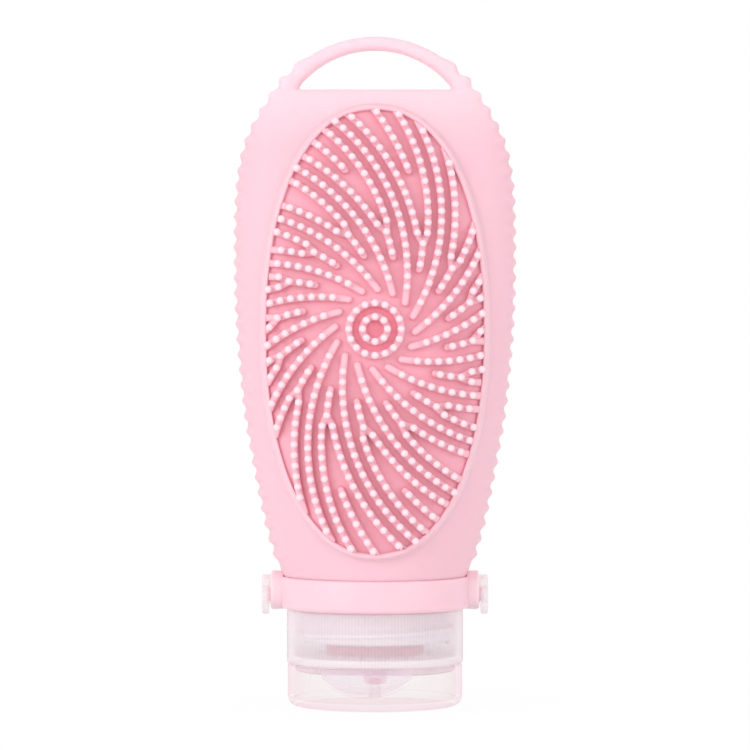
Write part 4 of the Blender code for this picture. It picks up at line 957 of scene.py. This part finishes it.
def make_collar():
    outer = COLLAR_RADIUS - COLLAR_EDGE
    lip = COLLAR_BORE - 1.1 * MM
    base = COLLAR_BASE - 0.22 * MM
    outline = [(lip, base)] + arc((outer, base + COLLAR_EDGE), COLLAR_EDGE, -90, 0, 8)
    outline += arc((COLLAR_RADIUS - COLLAR_TOP_EDGE, COLLAR_TOP - COLLAR_TOP_EDGE), COLLAR_TOP_EDGE, 0, 90, 6)
    outline += [(COLLAR_BORE, COLLAR_TOP), (COLLAR_BORE, COLLAR_BASE + MM), (lip, COLLAR_BASE + MM)]
    collar = turned("collar_band", outline, 180, ring=True)
    edge = 0.6 * MM
    back = BOSS_FACE - BOSS_THICKNESS - 0.45 * MM
    boss = [(0.0, outer), (3.0 * MM, outer), (3.0 * MM, back), (BOSS_RADIUS - 0.1 * MM, back)]
    boss += arc((BOSS_RADIUS - edge, BOSS_FACE - edge), edge, 0, 90, 4) + [(0.0, BOSS_FACE)]
    end = BOSS_FACE + FIT_GAP + 0.6 * MM
    pivot = [(0.0, BOSS_FACE - 0.3 * MM), (PIVOT_RADIUS, BOSS_FACE - 0.3 * MM), (PIVOT_RADIUS, end - 0.3 * MM)]
    pivot += arc((PIVOT_RADIUS - 0.3 * MM, end - 0.3 * MM), 0.3 * MM, 0, 90, 3) + [(0.0, end)]
    for side in (1, -1):
        carve(collar, turned("boss", boss, 48, side_place(side, BOSS_HEIGHT)), "UNION")
        carve(collar, turned("pivot", pivot, 32, side_place(side, PIVOT_HEIGHT)), "UNION")
    soften(collar)
    dress(collar, COLLAR_PLASTIC, "bottle", "collar_plastic", "collar_ring")


def make_bail():
    """Carry hoop: two round eyes on the collar's pivots, two arms and a cross bar behind."""
    arm = BOSS_FACE + FIT_GAP + BAIL_THICKNESS / 2
    straight = BAIL_REACH - BAIL_CORNER
    route = [(arm, straight * i / 24, 0.0) for i in range(24)]
    for i in range(13):
        turn = math.pi / 2 * i / 12
        route.append((arm - BAIL_CORNER * (1 - math.cos(turn)), straight + BAIL_CORNER * math.sin(turn), turn))
    route.append((0.0, BAIL_REACH, math.pi / 2))
    height_at = smooth_curve(((0.0, 1.8 * BAIL_EYE_RADIUS), (BAIL_EYE_RADIUS, 1.5 * BAIL_EYE_RADIUS),
                              (2 * BAIL_EYE_RADIUS, BAIL_ARM_HEIGHT), (BAIL_REACH, BAIL_ARM_HEIGHT)))
    half_thick = BAIL_THICKNESS / 2 - 0.05 * MM
    edge = 0.45 * MM
    rings = []
    for across, back, turn in route:
        tall = height_at(back) / 2
        corners = []
        for start, outward, upward in ((0, 1, 1), (90, -1, 1), (180, -1, -1), (270, 1, -1)):
            centre = (outward * (half_thick - edge), upward * (tall - edge))
            corners += arc(centre, edge, start, start + 90, 4)
        rings.append([(across + out * math.cos(turn), back + out * math.sin(turn), PIVOT_HEIGHT + up)
                      for out, up in corners])
    rings += [[(-x, y, z) for x, y, z in ring] for ring in reversed(rings[:-1])]
    bail = wrapped("bail_hoop", capped(rings))
    near, far = BOSS_FACE + FIT_GAP, BOSS_FACE + FIT_GAP + BAIL_THICKNESS
    eye = [(0.0, near)] + arc((BAIL_EYE_RADIUS - 0.3 * MM, near + 0.3 * MM), 0.3 * MM, -90, 0, 3)
    eye += arc((BAIL_EYE_RADIUS - 0.3 * MM, far - 0.3 * MM), 0.3 * MM, 0, 90, 3) + [(0.0, far)]
    bore = PIVOT_RADIUS + FIT_GAP
    hole = [(0.0, near - MM), (bore, near - MM), (bore, far + MM), (0.0, far + MM)]
    for side in (1, -1):
        carve(bail, turned("eye", eye, 48, side_place(side, PIVOT_HEIGHT)), "UNION")
        carve(bail, turned("hole", hole, 32, side_place(side, PIVOT_HEIGHT)))
    soften(bail)
    dress(bail, BAIL_PLASTIC, "bail", "clear_plastic", "carry_bail")


def helix(name, wall_radius, rise, first_height, turns, first_turn):
    """A screw thread's ridge on a wall; a negative rise points it inwards."""
    root = wall_radius - math.copysign(0.3 * MM, rise)
    steps = round(turns * 72)
    rings = []
    for i in range(steps + 1):
        turn = 2 * math.pi * i / 72
        fade = min(1.0, i / 6, (steps - i) / 6)
        crest = wall_radius + rise * (0.05 + 0.95 * fade)
        height = first_height + THREAD_PITCH * turn / (2 * math.pi)
        section = ((root, -0.75 * MM), (wall_radius, -0.65 * MM), (crest, -0.3 * MM), (crest, 0.3 * MM),
                   (wall_radius, 0.65 * MM), (root, 0.75 * MM))
        rings.append([(radius * math.cos(first_turn + turn), radius * math.sin(first_turn + turn), height + up)
                      for radius, up in section])
    return wrapped(name, capped(rings))


NECK_THREAD_START = INSERT_MOUTH + 1.4 * MM


def make_neck_insert():
    bore = INSERT_RADIUS - 2.4 * MM
    edge = 0.4 * MM
    sleeve_top = FLANGE_TOP + SLEEVE_HEIGHT
    outline = [(bore, TUBE_MOUTH), (INSERT_RADIUS - edge, TUBE_MOUTH), (INSERT_RADIUS, TUBE_MOUTH + edge),
               (INSERT_RADIUS, FLANGE_BASE), (NECK_RADIUS, FLANGE_BASE), (NECK_RADIUS, FLANGE_TOP),
               (SLEEVE_RADIUS, FLANGE_TOP), (SLEEVE_RADIUS, sleeve_top), (SLEEVE_BORE, sleeve_top),
               (SLEEVE_BORE, FLANGE_BASE)]
    insert = turned("neck_tube", outline, 144, ring=True)
    carve(insert, helix("neck_thread", INSERT_RADIUS, THREAD_RISE, NECK_THREAD_START, 1.25, 0.0), "UNION")
    soften(insert)
    dress(insert, NECK_PLASTIC, "bottle", "clear_plastic", "neck_insert")


# Cap: skirt, flip lid, gasket, valve and retainer
def make_skirt():
    """Screw skirt with its fine ribs, deck, spout, the step under the lid, inner thread and hinge leaf."""
    spout_end = SKIRT_BASE - SPOUT_LENGTH
    edge = 0.4 * MM
    steps = RIB_COUNT * 4
    hole_end = spout_end + SPOUT_HOLE_DEPTH
    outline = [(0.0, hole_end, 0.0), (SPOUT_BORE_RADIUS - 0.3 * MM, hole_end, 0.0),
               (SPOUT_BORE_RADIUS, spout_end, 0.0), (SPOUT_TIP_RADIUS - 0.1 * MM, spout_end, 0.0),
               (SPOUT_TIP_RADIUS, spout_end + 0.1 * MM, 0.0), (SPOUT_RADIUS, spout_end + 0.55 * MM, 0.0),
               (SPOUT_RADIUS, SKIRT_BASE, 0.0)]
    outline += [(radius, height, 0.0) for radius, height in
                arc((SKIRT_RADIUS - edge, SKIRT_BASE + edge), edge, -90, 0, 4)]
    outline += [(SKIRT_RADIUS, SKIRT_BASE + 0.9 * MM, 0.0), (SKIRT_RADIUS, SKIRT_BASE + 1.1 * MM, 1.0),
                (SKIRT_RADIUS, SKIRT_TOP - 0.9 * MM, 1.0), (SKIRT_RADIUS, SKIRT_TOP - 0.7 * MM, 0.0)]
    outline += [(radius, height, 0.0) for radius, height in
                arc((SKIRT_RADIUS - edge, SKIRT_TOP - edge), edge, 0, 90, 4)]
    outline += [(SKIRT_BORE, SKIRT_TOP, 0.0), (SKIRT_BORE, DECK_TOP + 0.3 * MM, 0.0),
                (SKIRT_BORE - 0.3 * MM, DECK_TOP, 0.0), (0.0, DECK_TOP, 0.0)]
    rib_wave = (1.0, 0.5, 0.0, 0.5)
    rings = []
    for radius, height, ribbed in outline:
        ring = []
        for i in range(steps):
            turn = 2 * math.pi * i / steps
            reach = radius - ribbed * RIB_DEPTH * (1 - rib_wave[i % 4])
            ring.append((reach * math.cos(turn), reach * math.sin(turn), height))
        rings.append(ring)
    skirt = wrapped("screw_cap", rings)
    outer = LID_RADIUS - LID_WALL - FIT_GAP
    step_base, step_root = SKIRT_BASE - SEAT_STEP_DROP, SKIRT_BASE + 0.35 * MM
    inner = (SPOUT_BORE_RADIUS + SPOUT_RADIUS) / 2
    step_outline = [(inner, step_base), (outer - 0.3 * MM, step_base), (outer, step_base + 0.3 * MM),
                    (outer, step_root), (inner, step_root)]
    step = turned("seat_step", step_outline, 144, ring=True)
    carve(step, thumb_tool("step_notch", LID_WALL + FIT_GAP))
    leaf = hinge_leaf("skirt_leaf", SKIRT_RADIUS, 1)
    thread = helix("cap_thread", SKIRT_BORE, -THREAD_RISE, NECK_THREAD_START + THREAD_PITCH / 2, 1.0,
                   math.radians(6.3))
    carve(skirt, step, "UNION")
    carve(skirt, thread, "UNION")
    carve(skirt, leaf, "UNION")
    skirt.data.transform(CAP_TURN)
    soften(skirt, 40)
    dress(skirt, RIBBED_PLASTIC, "cap", "cap_plastic", "cap_skirt")


def hinge_leaf(name, wall_radius, side):
    """One leaf of the film hinge: a wedge from the wall to the fold line, above or below it."""
    fold = HINGE_LINE[1] + side * FIT_GAP / 2
    root = wall_radius - LID_WALL / 2
    outline = ((root, fold), (HINGE_LINE[0], fold), (HINGE_LINE[0], fold + side * HINGE_FILM),
               (wall_radius, fold + side * HINGE_ROOT), (root, fold + side * HINGE_ROOT))
    return wrapped(name, capped([[(across, back, height) for back, height in outline]
                                 for across in (-HINGE_HALF_WIDTH, HINGE_HALF_WIDTH)]))


def thumb_tool(name, grow):
    """The half-oval thumb recess in the lid's front, or the same one grown by a wall."""
    ledge_back = -math.sqrt(LID_RADIUS ** 2 - THUMB_HALF_WIDTH ** 2) + grow
    rings = []
    for back, widen in ((-LID_RADIUS - MM, THUMB_LEDGE), (-LID_RADIUS, THUMB_LEDGE), (ledge_back, 0.0)):
        wide = THUMB_HALF_WIDTH + widen + grow
        tall = THUMB_DROP - THUMB_LEDGE + widen + grow
        turns = [2 * math.pi * i / 96 for i in range(96)]
        rings.append([(wide * math.cos(turn), back, LID_HEIGHT + tall * math.sin(turn)) for turn in turns])
    return wrapped(name, capped(rings))


def thumb_bead(wide, tall, back_at):
    """A rounded bead along the lower half of the thumb recess's edge."""
    def spot(turn):
        across = wide * math.cos(turn)
        return Vector((across, back_at(across), LID_HEIGHT + tall * math.sin(turn)))

    rings = []
    for i in range(61):
        turn = math.pi * (1 + i / 60)
        ahead = (spot(turn + 0.01) - spot(turn - 0.01)).normalized()
        side = ahead.cross(Vector((0, 1, 0))).normalized()
        up = side.cross(ahead)
        round_it = [side * math.cos(k * math.pi / 5) + up * math.sin(k * math.pi / 5) for k in range(10)]
        rings.append([spot(turn) + THUMB_BEAD * out for out in round_it])
    return wrapped("thumb_bead", capped(rings))


def make_lid():
    inner = LID_RADIUS - LID_WALL
    inner_corner = LID_CORNER - LID_WALL
    outline = [(0.0, 0.0)] + arc((LID_RADIUS - LID_CORNER, LID_CORNER), LID_CORNER, -90, 0, 10)
    outline += [(LID_RADIUS, LID_HEIGHT - 0.15 * MM), (LID_RADIUS - 0.15 * MM, LID_HEIGHT), (0.0, LID_HEIGHT)]
    lid = turned("flip_lid_cup", outline, 180)
    carve(lid, thumb_tool("thumb", 0.0))
    spout_end = SKIRT_BASE - SPOUT_LENGTH
    hollow = [(0.0, spout_end + PLUG_REACH), (PLUG_RADIUS * 0.75, spout_end + PLUG_REACH),
              (PLUG_RADIUS, spout_end + PLUG_REACH / 2), (PLUG_RADIUS, LID_END_THICKNESS + 0.4 * MM),
              (PLUG_RADIUS + 0.4 * MM, LID_END_THICKNESS)]
    hollow += arc((inner - inner_corner, LID_END_THICKNESS + inner_corner), inner_corner, -90, 0, 6)
    hollow += [(inner, LID_HEIGHT + MM), (0.0, LID_HEIGHT + MM)]
    tool = turned("hollow", hollow, 180)
    carve(tool, thumb_tool("thumb_wall", LID_WALL))
    carve(lid, tool)
    carve(lid, hinge_leaf("lid_leaf", LID_RADIUS, -1), "UNION")
    ledge_back = -math.sqrt(LID_RADIUS ** 2 - THUMB_HALF_WIDTH ** 2)
    carve(lid, thumb_bead(THUMB_HALF_WIDTH + THUMB_LEDGE, THUMB_DROP,
                          lambda across: THUMB_BEAD - math.sqrt(LID_RADIUS ** 2 - across ** 2)), "UNION")
    carve(lid, thumb_bead(THUMB_HALF_WIDTH, THUMB_DROP - THUMB_LEDGE, lambda across: ledge_back), "UNION")
    lid.data.transform(CAP_TURN)
    soften(lid)
    dress(lid, CAP_PLASTIC, "lid", "cap_plastic", "flip_lid")


def make_inner_cap():
    hole = GASKET_RADIUS - GASKET_WIDTH
    flat_ring = [(hole, GASKET_BASE), (GASKET_RADIUS, GASKET_BASE), (GASKET_RADIUS, GASKET_TOP),
                 (hole, GASKET_TOP)]
    gasket = turned("sealing_gasket", flat_ring, 96, ring=True)
    soften(gasket)
    dress(gasket, GASKET_PLASTIC, "liner", "valve_silicone", "lid_gasket")
    rim = VALVE_RADIUS - VALVE_RIM
    disc = [(0.0, GASKET_BASE), (VALVE_RADIUS, GASKET_BASE), (VALVE_RADIUS, VALVE_TOP), (rim, VALVE_TOP),
            (rim - 0.7 * MM, VALVE_FILM_TOP), (0.0, VALVE_FILM_TOP)]
    valve = turned("valve_disc", disc, 96)
    for across, back in ((SLIT_LENGTH, SLIT_WIDTH), (SLIT_WIDTH, SLIT_LENGTH)):
        bpy.ops.mesh.primitive_cube_add(size=1, location=(0, 0, GASKET_BASE), scale=(across, back, 3.2 * MM))
        slit = bpy.context.view_layer.objects.active
        carve(valve, slit)
    soften(valve)
    valve.data.transform(CAP_TURN)
    dress(valve, VALVE_SILICONE, "cap", "valve_silicone", "dispensing_valve")
    inner = VALVE_RADIUS + FIT_GAP
    outer, lip = inner + RETAINER_WALL, inner - RETAINER_LIP
    lip_base = VALVE_TOP + FIT_GAP
    top = lip_base + 0.7 * MM
    hook = [(inner, GASKET_BASE), (outer, GASKET_BASE), (outer, top), (lip, top), (lip, lip_base),
            (inner, lip_base)]
    retainer = turned("valve_ring", hook, 96, ring=True)
    soften(retainer)
    dress(retainer, RING_PLASTIC, "cap", "collar_plastic", "valve_retainer")


make_body()
make_brush()
make_collar()
make_bail()
make_neck_insert()
make_skirt()
make_lid()
make_inner_cap()


# Studio: white sweep, soft light from the upper left and the camera
def seen_directly(tree):
    """1 for what the camera sees, straight or by way of gloss or glass, and 0 for light on the object."""
    path = add_node(tree, "ShaderNodeLightPath")
    seen = add_node(tree, "ShaderNodeMath", {"operation": "MAXIMUM"},
                    links={0: path.outputs["Is Camera Ray"], 1: path.outputs["Is Glossy Ray"]})
    return add_node(tree, "ShaderNodeMath", {"operation": "MAXIMUM"},
                    links={0: seen.outputs[0], 1: path.outputs["Is Transmission Ray"]})


def white_for_the_eye(tree, shade, share):
    """Mix plain white into what the camera, gloss and glass see, over a shader's own light."""
    seen = seen_directly(tree)
    part = add_node(tree, "ShaderNodeMath", {"operation": "MULTIPLY"}, links={0: seen.outputs[0], 1: share})
    white = add_node(tree, "ShaderNodeEmission", inputs={"Color": (1, 1, 1, 1), "Strength": 1.0})
    mixed = add_node(tree, "ShaderNodeMixShader", links={0: part.outputs[0], 1: shade, 2: white.outputs[0]})
    return mixed.outputs[0]


def make_stage():
    bpy.ops.object.select_all(action="DESELECT")
    bpy.ops.mesh.primitive_plane_add(size=3.0, location=(0, 0, -0.1 * MM))
    sweep = bpy.context.view_layer.objects.active
    sweep.name = "sweep"
    begin_edit(sweep, "EDGE")
    end_edit()
    for edge in sweep.data.edges:
        edge.select = all(sweep.data.vertices[i].co.y > 1.4 for i in edge.vertices)
    bpy.ops.object.mode_set(mode="EDIT")
    bpy.ops.mesh.extrude_region_move(TRANSFORM_OT_translate={"value": (0, 0, 2.0)})
    end_edit()
    apply_modifier(sweep, "BEVEL", width=0.5, segments=16, limit_method="ANGLE", angle_limit=math.radians(30))
    soften(sweep, 60)
    material, tree, place = new_material("white_paper_sweep")
    paper = add_node(tree, "ShaderNodeBsdfDiffuse", inputs={"Color": pigment("#F7F7F7")})
    away = add_node(tree, "ShaderNodeVectorMath", {"operation": "LENGTH"}, links={0: place})
    share = add_node(tree, "ShaderNodeMapRange",
                     inputs={"From Min": 20 * MM, "From Max": 110 * MM, "To Min": 0.96, "To Max": 1.0},
                     links={"Value": away.outputs["Value"]})
    finish_material(tree, white_for_the_eye(tree, paper.outputs[0], share.outputs["Result"]))
    sweep.data.materials.append(material)


def make_light(name, place, size, power, aim=(0, 0, 0.07)):
    data = bpy.data.lights.new(name, "AREA")
    data.shape, data.size, data.energy = "SQUARE", size, power
    light = bpy.data.objects.new(name, data)
    bpy.context.scene.collection.objects.link(light)
    light.location = place
    light.rotation_euler = (Vector(aim) - Vector(place)).to_track_quat("-Z", "Y").to_euler()


def make_world():
    world = bpy.data.worlds.new("studio")
    bpy.context.scene.world = world
    world.use_nodes = True
    tree = world.node_tree
    tree.nodes.clear()
    fill = add_node(tree, "ShaderNodeBackground", inputs={"Color": (1, 1, 1, 1), "Strength": 0.86})
    seen = seen_directly(tree)
    white = add_node(tree, "ShaderNodeBackground", inputs={"Color": (1, 1, 1, 1), "Strength": 1.0})
    mixed = add_node(tree, "ShaderNodeMixShader",
                     links={0: seen.outputs[0], 1: fill.outputs[0], 2: white.outputs[0]})
    add_node(tree, "ShaderNodeOutputWorld", links={"Surface": mixed.outputs[0]})


def make_camera():
    data = bpy.data.cameras.new("camera")
    data.lens, data.sensor_width = 163.0, 36.0
    camera = bpy.data.objects.new("camera", data)
    bpy.context.scene.collection.objects.link(camera)
    camera.location = (0.0, -0.707, 0.0686)
    camera.rotation_euler = (math.pi / 2, 0, 0)
    data.clip_start, data.clip_end = 0.01, 20.0
    bpy.context.scene.camera = camera


make_stage()
make_world()
make_light("key", (-0.75, -0.8, 0.4), 0.7, 3.6)
make_light("fill", (0.8, -0.8, 0.15), 0.7, 2.1)
make_camera()
bpy.context.scene.view_settings.view_transform = "Standard"
